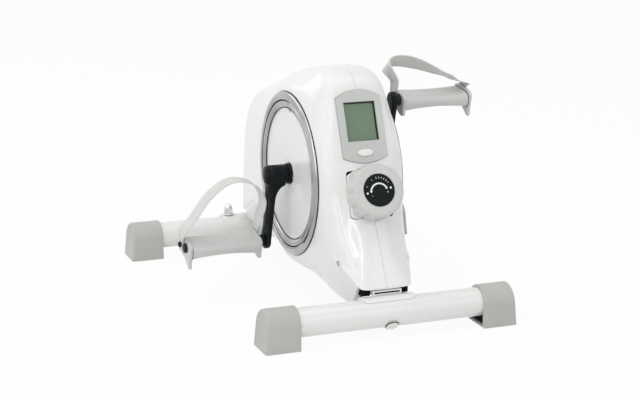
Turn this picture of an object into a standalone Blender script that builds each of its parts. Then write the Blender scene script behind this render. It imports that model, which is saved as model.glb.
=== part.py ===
# Mini exercise bike: two stabiliser tubes, a plate frame, a two-half housing, cranks with pedals,
# a belt-driven flywheel with a magnetic brake, a tension knob and a small console.
# Lengths are in metres. X runs across the bike, the rider sits on the -Y side, +Z is up.
import math

import bmesh
import bpy
from mathutils import Vector

mm = 0.001

# Driving dimensions, general
seat_gap = 0.3 * mm
tube_spacing = 458 * mm
tube_radius = 19.05 * mm
tube_wall = 1.5 * mm
tube_axis_height = 30.5 * mm
front_span = 350 * mm
rear_span = 444 * mm

# Foot caps
cap_length = 48 * mm
cap_wall = 3.15 * mm
cap_end_wall = 8 * mm
cap_draft = 4 * mm
cap_rim = 2.6 * mm
cap_dish = 5 * mm
cap_foot_width = 46.5 * mm
cap_hollow_depth = 14 * mm
sole_groove_depth = 1.6 * mm
sole_groove_width = 3.4 * mm
sole_groove_pitch = 10.5 * mm
sole_groove_count = 4

# Saddles and stabiliser bolts
saddle_thickness = 3 * mm
front_saddle_width = 73 * mm
rear_saddle_width = 150 * mm
rear_bolt_spacing = 130 * mm
front_bolt_angle = math.radians(45)
bolt_radius = 4 * mm
bolt_head_radius = 8.4 * mm
bolt_head_height = 4.2 * mm
washer_radius = 8.3 * mm
washer_thickness = 1.6 * mm
nut_radius = 6.6 * mm
nut_height = 8 * mm
nut_dome_height = 6.5 * mm

# Plate frame
plate_thickness = 5 * mm
tongue_half_width = 20 * mm
tongue_thickness = 6 * mm
tongue_length = 67 * mm
tongue_setback = 3 * mm
tongue_slit_height = 2.2 * mm
tongue_slit_depth = 5 * mm
tongue_slit_wall = 2.2 * mm
rail_height = 25 * mm
rail_end_inset = 14 * mm
rail_clearance = 4 * mm
front_tie_y = 45 * mm
tie_width = 10 * mm
front_tie_height = 12 * mm
tie_height = 14 * mm

# Drive, measured from the front tube's axis and the floor
crank_axis_y = 208 * mm
crank_axis_z = 172 * mm
crank_length = 93 * mm
crank_lean = math.radians(-3.5)
bearing_shell_radius = 21 * mm
bearing_shell_wall = 3.2 * mm
crank_bearing_width = 11 * mm
crank_axle_radius = 10 * mm
axle_end_radius = 7.5 * mm
pulley_radius = 75 * mm
pulley_width = 8 * mm
pulley_lip = 1 * mm
pulley_clearance = 4 * mm
plate_clearance = 8 * mm
flywheel_run = 137 * mm
flywheel_axis_z = 150 * mm
flywheel_radius = 62 * mm
flywheel_width = 14 * mm
flywheel_axle_radius = 5 * mm
flywheel_bearing_radius = 11 * mm
small_pulley_radius = 18 * mm
belt_thickness = 1.8 * mm
belt_width = 6 * mm
bracket_pivot_run = 60 * mm
bracket_pivot_z = 196 * mm
bracket_pin_radius = 3 * mm
brake_clearance = 4.5 * mm
magnet_thickness = 2.6 * mm
lever_length = 15 * mm
cable_radius = 1.5 * mm

# Housing
shell_wall = 2.5 * mm
seam_gap = 0.3 * mm
side_half_width = 58.5 * mm
side_drop = 15 * mm
side_drop_run = 27 * mm
side_fall_power = 1.5
leg_narrowing = 7.5 * mm
leg_front = 15 * mm
leg_taper_run = 75 * mm
profile_rear_run = 250 * mm
slot_half_width = 26 * mm
boss_radius = 6.5 * mm
screw_head_radius = 3.9 * mm
screw_head_height = 2.6 * mm
screw_radius = 1.8 * mm
screw_recess_depth = 9 * mm
screw_reach = 12 * mm

# Side covers
seat_ring_radius = 113.5 * mm
cover_hole_radius = 98.6 * mm
cover_radius = 97.7 * mm
cover_thickness = 2.2 * mm
cover_bore_radius = 14.5 * mm
ring_outer_radius = 112 * mm
ring_inner_radius = 89.6 * mm
ring_height = 4.6 * mm

# Console and tension control
face_tilt = 0.38
console_y = 98 * mm
console_z = 261 * mm
bezel_width = 62 * mm
bezel_proud = 3 * mm
bezel_depth = 8 * mm
bezel_front_wall = 2.5 * mm
bezel_side_wall = 2.2 * mm
bezel_top_corner = 33 * mm
bezel_top_apex = 43 * mm
bezel_bottom_corner = -47 * mm
bezel_bottom_apex = -55 * mm
console_cover_low = -24 * mm
display_width = 44 * mm
display_height = 52 * mm
window_thickness = 1.8 * mm
button_width = 22 * mm
button_height = 10 * mm
button_travel = 0.8 * mm
button_below = 41.5 * mm
control_y = 61 * mm
control_z = 173 * mm
control_width = 59 * mm
control_height = 62 * mm
control_proud = 2.2 * mm
control_depth = 11 * mm
base_gap = 0.6 * mm
knob_face_radius = 34 * mm
drum_radius = 9 * mm
drum_low = -14 * mm
knob_radius = 36.5 * mm
knob_depth = 26.8 * mm
knob_lobe_depth = 2.5 * mm
knob_lobes = 12
label_radius = 21.2 * mm
spindle_radius = 4 * mm

# Cranks and pedals
boss_outer_radius = 13.3 * mm
flange_radius = 14.2 * mm
flange_length = 4 * mm
flange_clearance = 0.7 * mm
boss_length = 26 * mm
boss_neck = 1.4 * mm
arm_lean_out = 4.5 * mm
arm_lean_power = 3
arm_thickness = 7 * mm
arm_end_thickness = 8.6 * mm
arm_half_width = 11.5 * mm
arm_end_half_width = 12.4 * mm
arm_end_reach = 11.5 * mm
arm_root_flare = 12 * mm
arm_root_fillet = 8 * mm
arm_step = 0.5 * mm
arm_corner = 3 * mm
crank_cap_height = 4 * mm
pedal_gap = 6 * mm
pedal_length = 103.5 * mm
pedal_plate = 4.5 * mm
pedal_inner_tip = 22 * mm
pedal_outer_tip = 28 * mm
pedal_waist = 0.78
pedal_spindle_radius = 6 * mm
pedal_shaft_radius = 4.4 * mm
strap_thickness = 1.5 * mm
strap_half_width = 15 * mm
right_strap_lean = math.radians(40)
lean_start = 2 * mm
lean_run = 52 * mm
stud_radius = 4 * mm
collar_radius = 8.4 * mm
strap_foot_y = 9 * mm
strap_foot_z = 8 * mm

# Sizes that follow from the ones above
recess_wall_plane = side_half_width - side_drop - shell_wall
plate_outer_plane = recess_wall_plane - pulley_clearance - pulley_width - plate_clearance
plate_half_gap = plate_outer_plane - plate_thickness
pulley_plane = plate_outer_plane + plate_clearance + pulley_width / 2
bearing_shell_length = 2 * (plate_outer_plane + 4 * mm)
rear_stretch = (tube_spacing - crank_axis_y) / profile_rear_run
flywheel_axis_y = crank_axis_y + flywheel_run * rear_stretch
bracket_pivot_y = crank_axis_y + bracket_pivot_run * rear_stretch
flange_plane = side_half_width + flange_clearance
boss_inner_plane = flange_plane + flange_length + boss_neck
boss_outer_plane = boss_inner_plane + boss_length
arm_end_plane = boss_outer_plane + arm_lean_out
pedal_inner_plane = arm_end_plane + pedal_gap

# The housing's side profile at the seam, from the front foot, over the top, to the rear foot and
# back below: distance behind the front tube, height and how far the side edge is rounded in, all in
# millimetres, and the number of steps to the next point. Behind the crank it stretches with the bike.
housing_profile = (
    (3, 60.5, 6, 1), (9, 73, 10, 1), (27, 106, 12, 2), (44, 136, 12, 2), (59, 172, 12, 2),
    (77, 212, 11, 3), (97, 261, 11, 3), (113, 300, 13, 2), (129, 317, 15, 2), (155, 325, 16, 2),
    (184, 323, 16, 2),
    (222, 314, 15, 2), (275, 296, 13, 2), (330, 277, 12, 2), (375, 262, 12, 2), (408, 247, 12, 3),
    (434, 221, 11, 2), (448, 185, 9, 2), (453, 140, 7, 2), (456, 95, 5, 1), (456, 69, 3, 1),
    (452, 60.5, 2, 1), (441, 60.5, 2, 1), (434, 52, 2, 1), (405, 50, 3, 2), (320, 50, 3, 2),
    (250, 50, 3, 2), (203, 48, 3, 2), (160, 44, 3, 2), (110, 40, 3, 2), (62, 35, 2, 1), (37, 34, 2, 1),
    (26, 43, 2, 1), (16, 60.5, 2, 1),
)
front_screw = (50 * mm, 86 * mm)
rear_screw_run = 214 * mm
rear_screw_height = 88 * mm
screw_places = (front_screw, (crank_axis_y + rear_screw_run * rear_stretch, rear_screw_height))


# Shared modelling steps
def to_world(x, behind, height):
    """A place given from the front tube's axis and the floor, in the model's own frame."""
    return Vector((x, behind - tube_spacing / 2, height))


def clear_scene():
    for old in list(bpy.data.objects):
        bpy.data.objects.remove(old, do_unlink=True)


def finish_of(name, colour, roughness, metallic):
    material = bpy.data.materials.new(name + "_finish")
    material.use_nodes = True
    shader = material.node_tree.nodes["Principled BSDF"]
    shader.inputs["Base Color"].default_value = (*colour, 1)
    shader.inputs["Roughness"].default_value = roughness
    shader.inputs["Metallic"].default_value = metallic
    return material


WHITE = ((0.86, 0.86, 0.85), 0.25, 0)
GREY = ((0.58, 0.58, 0.56), 0.45, 0)
SOFT_GREY = ((0.5, 0.5, 0.48), 0.7, 0)
BLACK = ((0.015, 0.02, 0.02), 0.3, 0)
STEEL = ((0.6, 0.6, 0.6), 0.35, 1)
CHROME = ((0.8, 0.8, 0.8), 0.08, 1)
RUBBER = ((0.03, 0.03, 0.03), 0.8, 0)
GLASS = ((0.3, 0.38, 0.3), 0.1, 0)
GREEN = ((0.05, 0.2, 0.08), 0.5, 0)
STRAP = ((0.72, 0.72, 0.7), 0.4, 0)


def place_piece(name, solid, look, holder=None, smooth_angle=0.6):
    """Turn a bmesh, given in the model's own frame, into a named object. A piece that moves hangs
    from the empty that stands on its joint, and has its origin there."""
    if holder is not None:
        origin = Vector(holder["place"])
        for vertex in solid.verts:
            vertex.co -= origin
    bmesh.ops.recalc_face_normals(solid, faces=solid.faces)
    mesh = bpy.data.meshes.new(name)
    solid.to_mesh(mesh)
    solid.free()
    mesh.shade_smooth()
    mesh.set_sharp_from_angle(angle=smooth_angle)
    piece = bpy.data.objects.new(name, mesh)
    bpy.context.scene.collection.objects.link(piece)
    piece.data.materials.append(finish_of(name, *look))
    piece.parent = holder
    return piece


def joint_empty(name, place, holder=None):
    empty = bpy.data.objects.new(name, None)
    bpy.context.scene.collection.objects.link(empty)
    empty.location = Vector(place) - (Vector(holder["place"]) if holder else Vector((0, 0, 0)))
    empty.parent = holder
    empty["place"] = tuple(place)
    return empty


def shape_with(piece, solid, operation):
    """Add or remove a guide solid, given in the model's frame, with a Boolean modifier."""
    bmesh.ops.recalc_face_normals(solid, faces=solid.faces)
    mesh = bpy.data.meshes.new(piece.name + "_guide")
    solid.to_mesh(mesh)
    solid.free()
    guide = bpy.data.objects.new(piece.name + "_guide", mesh)
    bpy.context.scene.collection.objects.link(guide)
    guide.hide_render = True
    guide.display_type = "WIRE"
    modifier = piece.modifiers.new(operation.lower(), "BOOLEAN")
    modifier.operation = operation
    modifier.object = guide
    modifier.solver = "EXACT"


def cut(piece, solid):
    shape_with(piece, solid, "DIFFERENCE")


def join(piece, solid):
    shape_with(piece, solid, "UNION")


def loft(rings, close_ends=True, closed_loop=False):
    """Join rings of as many points each into one closed skin."""
    solid = bmesh.new()
    rows = [[solid.verts.new(point) for point in ring] for ring in rings]
    pairs = list(zip(rows, rows[1:]))
    if closed_loop:
        pairs.append((rows[-1], rows[0]))
    for first, second in pairs:
        count = len(first)
        for i in range(count):
            j = (i + 1) % count
            solid.faces.new((first[i], first[j], second[j], second[i]))
    if close_ends and not closed_loop:
        solid.faces.new(rows[0])
        solid.faces.new(rows[-1])
    return solid


def frame_axes(direction):
    along = Vector(direction).normalized()
    side = Vector((1, 0, 0)) if abs(along.x) < 0.9 else Vector((0, 1, 0))
    first = (side - along * side.dot(along)).normalized()
    return along, first, along.cross(first)


def turned(profile, centre, direction, steps):
    """Turn a profile of (radius, distance along the axis) about an axis. A profile that starts and
    ends on the axis makes a plug, and one that stays off it makes a ring."""
    along, first, second = frame_axes(direction)
    centre = Vector(centre)
    solid = bmesh.new()
    rows = []
    for radius, distance in profile:
        middle = centre + along * distance
        if radius < 1e-7:
            rows.append([solid.verts.new(middle)])
            continue
        row = []
        for i in range(steps):
            angle = math.tau * i / steps
            row.append(solid.verts.new(middle + first * radius * math.cos(angle)
                                       + second * radius * math.sin(angle)))
        rows.append(row)
    pairs = list(zip(rows, rows[1:]))
    if len(rows[0]) > 1 and len(rows[-1]) > 1:
        pairs.append((rows[-1], rows[0]))
    for low, high in pairs:
        for i in range(steps):
            j = (i + 1) % steps
            if len(low) == 1:
                solid.faces.new((low[0], high[i], high[j]))
            elif len(high) == 1:
                solid.faces.new((low[i], low[j], high[0]))
            else:
                solid.faces.new((low[i], low[j], high[j], high[i]))
    return solid


def rod(radius, start, end, steps=20):
    start = Vector(start)
    end = Vector(end)
    length = (end - start).length
    return turned([(0, 0), (radius, 0), (radius, length), (0, length)], start, end - start, steps)


def pipe(outer, inner, start, end, steps=24):
    start = Vector(start)
    length = (Vector(end) - start).length
    profile = [(outer, 0), (outer, length), (inner, length), (inner, 0)]
    return turned(profile, start, Vector(end) - start, steps)


def block(low, high):
    corners = [(low[0], high[0]), (low[1], high[1]), (low[2], high[2])]
    rings = []
    for z in corners[2]:
        rings.append([
            (corners[0][0], corners[1][0], z), (corners[0][1], corners[1][0], z),
            (corners[0][1], corners[1][1], z), (corners[0][0], corners[1][1], z)])
    return loft(rings)


def rounded_outline(width, height, radius, steps=4):
    """A rectangle with round corners, as points about its centre."""
    points = []
    for quarter, (sx, sy) in enumerate(((1, 1), (-1, 1), (-1, -1), (1, -1))):
        for i in range(steps + 1):
            angle = math.pi / 2 * (quarter + i / steps)
            points.append((sx * (width / 2 - radius) + radius * math.cos(angle),
                           sy * (height / 2 - radius) + radius * math.sin(angle)))
    return points


class Face:
    """A tilted plane on the housing's front: across is +X, up runs up the slope, out is its normal."""

    def __init__(self, behind, height):
        self.origin = to_world(0, behind, height)
        self.up = Vector((0, math.sin(face_tilt), math.cos(face_tilt)))
        self.out = Vector((0, -math.cos(face_tilt), math.sin(face_tilt)))

    def at(self, across, up, out):
        return self.origin + Vector((across, 0, 0)) + self.up * up + self.out * out

    def slab(self, outline, low, high, up=0):
        rings = [[self.at(u, v + up, w) for u, v in outline] for w in (low, high)]
        return loft(rings)


console_face = Face(console_y, console_z)
control_face = Face(control_y, control_z)


# Stabiliser tubes
def tube_centre(which):
    return 0 if which == "front" else tube_spacing


def tube_half(span):
    return span / 2 - cap_end_wall - seat_gap


def bolt_direction(which):
    """From the bolt's head towards its nut."""
    if which == "front":
        return Vector((0, math.sin(front_bolt_angle), math.cos(front_bolt_angle)))
    return Vector((0, 0, 1))


def bolt_places(which):
    if which == "front":
        return (0,)
    return (-rear_bolt_spacing / 2, rear_bolt_spacing / 2)


def bolt_hole(which, x):
    middle = to_world(x, tube_centre(which), tube_axis_height)
    reach = bolt_direction(which) * (tube_radius + 20 * mm)
    return rod(bolt_radius + seat_gap, middle - reach, middle + reach, 16)


def make_tube(which, span):
    half = tube_half(span)
    ends = [to_world(side * half, tube_centre(which), tube_axis_height) for side in (-1, 1)]
    tube = place_piece(which + "_stabiliser_tube", pipe(tube_radius, tube_radius - tube_wall, *ends),
                       WHITE)
    for x in bolt_places(which):
        cut(tube, bolt_hole(which, x))


# Foot caps: an arch over the tube on a flat ribbed sole
def cap_section(inset, arch_steps=10):
    radius = tube_radius + seat_gap + cap_wall - inset
    half = cap_foot_width / 2 - inset
    points = [(half, inset * 0.5)]
    for i in range(arch_steps + 1):
        angle = math.pi * i / arch_steps
        points.append((radius * math.cos(angle), tube_axis_height + radius * math.sin(angle)))
    points.append((-half, inset * 0.5))
    return points


def make_cap(which, side, span):
    inner = span / 2 - cap_length
    centre = tube_centre(which)

    def ring(distance, inset, draft=cap_draft):
        return [to_world(side * (inner + distance - draft * z / cap_foot_width), centre + y, z)
                for y, z in cap_section(inset)]

    rings = [ring(0, 0, 0), ring(cap_length - cap_rim, 0),
             ring(cap_length - cap_rim * 0.3, cap_rim * 0.3), ring(cap_length, cap_rim),
             ring(cap_length, cap_dish), ring(cap_length - 0.7 * mm, cap_dish + 0.5 * mm)]
    name = "{}_{}_foot_cap".format(which, "left" if side < 0 else "right")
    cap = place_piece(name, loft(rings), SOFT_GREY)
    start = to_world(side * (inner - 5 * mm), centre, tube_axis_height)
    end = to_world(side * (inner + cap_length - cap_end_wall), centre, tube_axis_height)
    cut(cap, rod(tube_radius + seat_gap, start, end, 32))
    low_x, high_x = sorted((side * (inner - 5 * mm), side * (inner + cap_hollow_depth)))
    hollow_half = tube_radius - 3 * mm
    cut(cap, block(to_world(low_x, centre - hollow_half, cap_wall),
                   to_world(high_x, centre + hollow_half, tube_axis_height)))
    groove_x, groove_end = sorted((side * (inner - 5 * mm), side * (inner + cap_length + 5 * mm)))
    for i in range(sole_groove_count):
        y = centre + (i - (sole_groove_count - 1) / 2) * sole_groove_pitch
        cut(cap, block(to_world(groove_x, y - sole_groove_width / 2, -5 * mm),
                       to_world(groove_end, y + sole_groove_width / 2, sole_groove_depth)))


# Saddles: bent plates that sit on the tubes and carry the frame
def saddle_top():
    return tube_axis_height + tube_radius + seat_gap + saddle_thickness


def make_saddle(which, front_edge, rear_edge, width):
    inner = tube_radius + seat_gap
    outer = inner + saddle_thickness
    steps = 16
    rings = []
    for i in range(steps + 1):
        angle = math.radians(front_edge + (rear_edge - front_edge) * i / steps)
        ring = []
        for x, radius in ((-width / 2, inner), (width / 2, inner), (width / 2, outer),
                          (-width / 2, outer)):
            ring.append(to_world(x, tube_centre(which) - radius * math.sin(angle),
                                 tube_axis_height + radius * math.cos(angle)))
        rings.append(ring)
    saddle = place_piece(which + "_saddle", loft(rings), WHITE)
    for x in bolt_places(which):
        cut(saddle, bolt_hole(which, x))


def make_bolts(which):
    """Carriage bolts below the tube, with a flanged acorn nut above the saddle."""
    direction = bolt_direction(which)
    head_base = -(tube_radius + seat_gap)
    flange_base = tube_radius + seat_gap + saddle_thickness + seat_gap
    nut_top = flange_base + washer_thickness + nut_height
    shaft_end = nut_top - 1 * mm
    dome = [(bolt_head_radius * math.cos(a), head_base - bolt_head_height * math.sin(a))
            for a in (0, 0.5, 1.0)]
    bolt_profile = [(0, head_base - bolt_head_height)] + dome[::-1] + [
        (bolt_radius, head_base), (bolt_radius, shaft_end), (0, shaft_end)]
    for x in bolt_places(which):
        name = which + ("_bolt" if x == 0 else "_left_bolt" if x < 0 else "_right_bolt")
        centre = to_world(x, tube_centre(which), tube_axis_height)
        place_piece(name, turned(bolt_profile, centre, direction, 16), STEEL)
        place_piece(name + "_nut", acorn_nut(centre, direction, flange_base, nut_top), CHROME)


def acorn_nut(centre, direction, base, top):
    """A round flange, a hexagon with a blind bore, and a domed cap."""
    along, first, second = frame_axes(direction)
    bore = bolt_radius + seat_gap
    flat = math.cos(math.pi / 6)
    steps = 12

    def ring(radius, distance, hexagon=False):
        row = []
        for i in range(steps):
            angle = math.tau * i / steps
            scale = flat / math.cos((angle % (math.pi / 3)) - math.pi / 6) if hexagon else 1
            row.append(centre + along * distance
                       + (first * math.cos(angle) + second * math.sin(angle)) * radius * scale)
        return row

    flange_top = base + washer_thickness
    dome_radius = nut_radius * flat * 0.97
    rings = [ring(bore, top - 0.8 * mm), ring(bore, base), ring(washer_radius, base),
             ring(washer_radius, flange_top - 0.3 * mm), ring(washer_radius - 0.4 * mm, flange_top),
             ring(nut_radius, flange_top, True), ring(nut_radius, top, True)]
    for angle in (0, 0.45, 0.9, 1.3):
        rings.append(ring(dome_radius * math.cos(angle), top + nut_dome_height * math.sin(angle)))
    return loft(rings)


# Main frame: two upright plates on two tongues that lie on the saddles
def tongue_base():
    return saddle_top() + seat_gap


def rail_top():
    return tongue_base() + rail_height


def round_lug(behind, height, radius, start, end, steps=8):
    """Points of an arc about a bore, angles in degrees from the rear, turning towards the front."""
    points = []
    for i in range(steps + 1):
        angle = math.radians(start + (end - start) * i / steps)
        points.append((behind + radius * math.cos(angle), height + radius * math.sin(angle)))
    return points


def plate_outline():
    """The frame plate's outline from the side: rail, screw ears, crank lug, brake pivot, flywheel lug."""
    low = tongue_base() + tongue_thickness * 0.4
    high = rail_top()
    front = rail_end_inset
    rear = tube_spacing - rail_end_inset
    ear = boss_radius + 6 * mm
    (front_ear_y, front_ear_z), (rear_ear_y, rear_ear_z) = screw_places
    crank_lug = bearing_shell_radius + 6 * mm
    wheel_lug = flywheel_bearing_radius + 7 * mm
    pivot_lug = bracket_pin_radius + 7 * mm
    points = [(rear, low), (rear, high)]
    points += round_lug(rear_ear_y, rear_ear_z, ear, 10, 150, 5)
    points += [(flywheel_axis_y + 40 * mm, high)]
    points += round_lug(flywheel_axis_y, flywheel_axis_z, wheel_lug, -20, 110, 6)
    points += round_lug(bracket_pivot_y, bracket_pivot_z, pivot_lug, 50, 130, 4)
    points += round_lug(crank_axis_y, crank_axis_z, crank_lug, 60, 200, 9)
    points += [(crank_axis_y - 42 * mm, high), (front_ear_y + 26 * mm, high)]
    points += round_lug(front_ear_y, front_ear_z, ear, 40, 150, 5)
    points += [(front, low + 9 * mm), (front, low)]
    return points


def side_plate(outline, low_x, high_x):
    return loft([[to_world(x, y, z) for y, z in outline] for x in (low_x, high_x)])


def across_rod(radius, low_x, high_x, behind, height, steps=20):
    return rod(radius, to_world(low_x, behind, height), to_world(high_x, behind, height), steps)


def make_frame():
    outline = plate_outline()
    outer = plate_half_gap + plate_thickness
    frame = place_piece("main_frame", side_plate(outline, -outer, -plate_half_gap), WHITE)
    join(frame, side_plate(outline, plate_half_gap, outer))
    base = tongue_base()
    top = base + tongue_thickness
    for low in (tongue_setback, tube_spacing - tongue_setback - tongue_length):
        join(frame, block(to_world(-tongue_half_width, low, base),
                          to_world(tongue_half_width, low + tongue_length, top)))
    reach = plate_half_gap + plate_thickness / 2
    for middle, height in ((front_tie_y, front_tie_height), (tube_spacing * 0.3, tie_height),
                           (tube_spacing * 0.84, tie_height)):
        low = top - 1 * mm
        join(frame, block(to_world(-reach, middle - tie_width / 2, low),
                          to_world(reach, middle + tie_width / 2, low + height)))
    past = outer + 5 * mm
    for radius, behind, height in (
            (bearing_shell_radius + seat_gap, crank_axis_y, crank_axis_z),
            (flywheel_bearing_radius + seat_gap, flywheel_axis_y, flywheel_axis_z),
            (bracket_pin_radius + seat_gap, bracket_pivot_y, bracket_pivot_z),
            (boss_radius + seat_gap, *screw_places[0]),
            (boss_radius + seat_gap, *screw_places[1])):
        cut(frame, across_rod(radius, -past, past, behind, height, 20))
    for which in ("front", "rear"):
        for x in bolt_places(which):
            foot = to_world(x, tube_centre(which), tube_axis_height)
            away = bolt_direction(which)
            start = foot + away * tube_radius
            cut(frame, rod(washer_radius + 0.7 * mm, start, foot + away * 48 * mm, 16))
    slit_low = base + (tongue_thickness - tongue_slit_height) / 2
    slit_half = tongue_half_width - tongue_slit_wall
    cut(frame, block(to_world(-slit_half, tongue_setback - 2 * mm, slit_low),
                     to_world(slit_half, tongue_setback + tongue_slit_depth,
                              slit_low + tongue_slit_height)))


# Crank bearing cartridge and axle
def make_crank_bearing():
    """A sleeve with a ball bearing's thickness at each end, hollow between them."""
    half = bearing_shell_length / 2
    inner = bearing_shell_radius - bearing_shell_wall
    bore = crank_axle_radius + seat_gap
    seat = half - crank_bearing_width
    profile = [(bearing_shell_radius, -half), (bearing_shell_radius, half), (bore, half), (bore, seat),
               (inner, seat), (inner, -seat), (bore, -seat), (bore, -half)]
    place_piece("crank_bearing", turned(profile, to_world(0, crank_axis_y, crank_axis_z), (1, 0, 0), 22),
                STEEL)


def make_crank_axle(crank):
    centre = to_world(0, crank_axis_y, crank_axis_z)
    shoulder = flange_plane - seat_gap
    end = boss_outer_plane - 4 * mm
    profile = [(0, -end), (axle_end_radius, -end), (axle_end_radius, -shoulder),
               (crank_axle_radius, -shoulder), (crank_axle_radius, shoulder),
               (axle_end_radius, shoulder), (axle_end_radius, end), (0, end)]
    place_piece("crank_axle", turned(profile, centre, (1, 0, 0), 18), STEEL, crank)


def make_drive_pulley(crank):
    """A flat belt pulley: hub, thin web, and a rim with a lip on each edge."""
    centre = to_world(0, crank_axis_y, crank_axis_z)
    low = pulley_plane - pulley_width / 2
    high = pulley_plane + pulley_width / 2
    hub = crank_axle_radius + 9 * mm
    bore = crank_axle_radius + seat_gap
    rim = pulley_radius - 8 * mm
    web = 2 * mm
    lip = pulley_radius + pulley_lip
    profile = [(bore, low - 3 * mm), (hub, low - 3 * mm), (hub, pulley_plane - web),
               (rim, pulley_plane - web), (rim, low), (lip, low), (pulley_radius, low + 0.8 * mm),
               (pulley_radius, high - 0.8 * mm), (lip, high), (rim, high), (rim, pulley_plane + web),
               (hub, pulley_plane + web), (hub, high + 3 * mm), (bore, high + 3 * mm)]
    place_piece("drive_pulley", turned(profile, centre, (1, 0, 0), 20), BLACK, crank)


# Flywheel, its axle with the small pulley, bearings and belt
def make_flywheel(flywheel):
    centre = to_world(0, flywheel_axis_y, flywheel_axis_z)
    half = flywheel_width / 2
    bore = flywheel_axle_radius + seat_gap
    hub = flywheel_axle_radius + 7 * mm
    rim = flywheel_radius - 16 * mm
    web = 3 * mm
    hub_half = plate_half_gap - 3 * mm
    profile = [(bore, -hub_half), (hub, -hub_half), (hub, -web), (rim, -web), (rim, -half),
               (flywheel_radius, -half), (flywheel_radius, half), (rim, half), (rim, web), (hub, web),
               (hub, hub_half), (bore, hub_half)]
    place_piece("flywheel", turned(profile, centre, (1, 0, 0), 24), STEEL, flywheel)
    low = pulley_plane - pulley_width / 2
    high = pulley_plane + pulley_width / 2
    lip = small_pulley_radius + pulley_lip
    reach = plate_half_gap + plate_thickness + 4 * mm
    axle = [(0, -reach), (flywheel_axle_radius, -reach), (flywheel_axle_radius, low - 2 * mm),
            (lip, low - 2 * mm), (small_pulley_radius, low + 0.8 * mm),
            (small_pulley_radius, high - 0.8 * mm), (lip, high), (flywheel_axle_radius, high),
            (flywheel_axle_radius, high + 2 * mm), (0, high + 2 * mm)]
    place_piece("flywheel_axle", turned(axle, centre, (1, 0, 0), 18), STEEL, flywheel)
    for side, name in ((-1, "left_flywheel_bearing"), (1, "right_flywheel_bearing")):
        start = side * (plate_half_gap - 0.5 * mm)
        end = side * (plate_half_gap + plate_thickness + 0.5 * mm)
        place_piece(name, pipe(flywheel_bearing_radius, bore, centre + Vector((start, 0, 0)),
                               centre + Vector((end, 0, 0)), 20), STEEL)


def make_belt():
    """An open belt around both pulleys, as the outer tangents and arcs of two circles."""
    big = pulley_radius + seat_gap
    small = small_pulley_radius + seat_gap
    run = flywheel_axis_y - crank_axis_y
    rise = flywheel_axis_z - crank_axis_z
    distance = math.hypot(run, rise)
    heading = math.atan2(rise, run)
    spread = math.acos((big - small) / distance)

    def loop(extra):
        points = []
        for i in range(25):
            angle = heading + spread + (math.tau - 2 * spread) * i / 24
            points.append((crank_axis_y + (big + extra) * math.cos(angle),
                           crank_axis_z + (big + extra) * math.sin(angle)))
        for i in range(9):
            angle = heading - spread + 2 * spread * i / 8
            points.append((flywheel_axis_y + (small + extra) * math.cos(angle),
                           flywheel_axis_z + (small + extra) * math.sin(angle)))
        return points

    low = pulley_plane - belt_width / 2
    high = pulley_plane + belt_width / 2
    rings = []
    for x, extra in ((low, 0), (high, 0), (high, belt_thickness), (low, belt_thickness)):
        rings.append([to_world(x, y, z) for y, z in loop(extra)])
    place_piece("drive_belt", loft(rings, closed_loop=True), RUBBER)


# Magnetic brake: a bracket that swings on a pin, moved by the tension cable
def arc_block(inner, outer, start, end, half_width, steps):
    rings = []
    for i in range(steps + 1):
        angle = math.radians(start + (end - start) * i / steps)
        ring = []
        for x, radius in ((-half_width, inner), (half_width, inner), (half_width, outer),
                          (-half_width, outer)):
            ring.append(to_world(x, flywheel_axis_y + radius * math.cos(angle),
                                 flywheel_axis_z + radius * math.sin(angle)))
        rings.append(ring)
    return loft(rings)


def bar_outline(start, end, half):
    """A straight bar's four corners, seen from the side."""
    run = Vector((end[0] - start[0], end[1] - start[1])).normalized() * half
    return [(start[0] - run.y, start[1] + run.x), (start[0] + run.y, start[1] - run.x),
            (end[0] + run.y, end[1] - run.x), (end[0] - run.y, end[1] + run.x)]


def make_brake(brake):
    inner = flywheel_radius + brake_clearance
    thickness = 4 * mm
    half = 7 * mm
    rise = bracket_pivot_z - flywheel_axis_z
    toward = math.degrees(math.atan2(rise, bracket_pivot_y - flywheel_axis_y))
    arc = arc_block(inner, inner + thickness, toward - 4, toward - 105, half, 14)
    bracket = place_piece("magnet_bracket", arc, STEEL, brake)
    hub = bracket_pin_radius + seat_gap + 4 * mm
    join(bracket, across_rod(hub, -half, half, bracket_pivot_y, bracket_pivot_z, 16))
    start = math.radians(toward - 6)
    middle = inner + thickness / 2
    arm_end = (flywheel_axis_y + middle * math.cos(start), flywheel_axis_z + middle * math.sin(start))
    pivot = (bracket_pivot_y, bracket_pivot_z)
    join(bracket, side_plate(bar_outline(pivot, arm_end, 4 * mm), -5 * mm, 5 * mm))
    lever_end = (bracket_pivot_y - 2 * mm, bracket_pivot_z - lever_length)
    join(bracket, side_plate(bar_outline(pivot, lever_end, 2.5 * mm), -4 * mm, 4 * mm))
    cut(bracket, across_rod(bracket_pin_radius + seat_gap, -half - 2 * mm, half + 2 * mm,
                            bracket_pivot_y, bracket_pivot_z, 16))
    face = inner - seat_gap
    magnet = arc_block(face - magnet_thickness, face, toward - 20, toward - 100, half - 1 * mm, 12)
    place_piece("brake_magnet", magnet, BLACK, brake)
    reach = plate_half_gap + plate_thickness
    place_piece("bracket_pin", across_rod(bracket_pin_radius, -reach, reach, *pivot, 16), STEEL)


def smooth_path(points, steps):
    """Points along a smooth curve through the given points, ends kept."""
    ends = [2 * Vector(points[0]) - Vector(points[1])] + [Vector(p) for p in points]
    ends.append(2 * Vector(points[-1]) - Vector(points[-2]))
    path = []
    for i in range(1, len(ends) - 2):
        for k in range(steps):
            path.append(curve_between(ends[i - 1:i + 3], k / steps))
    path.append(ends[-2])
    return path


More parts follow.
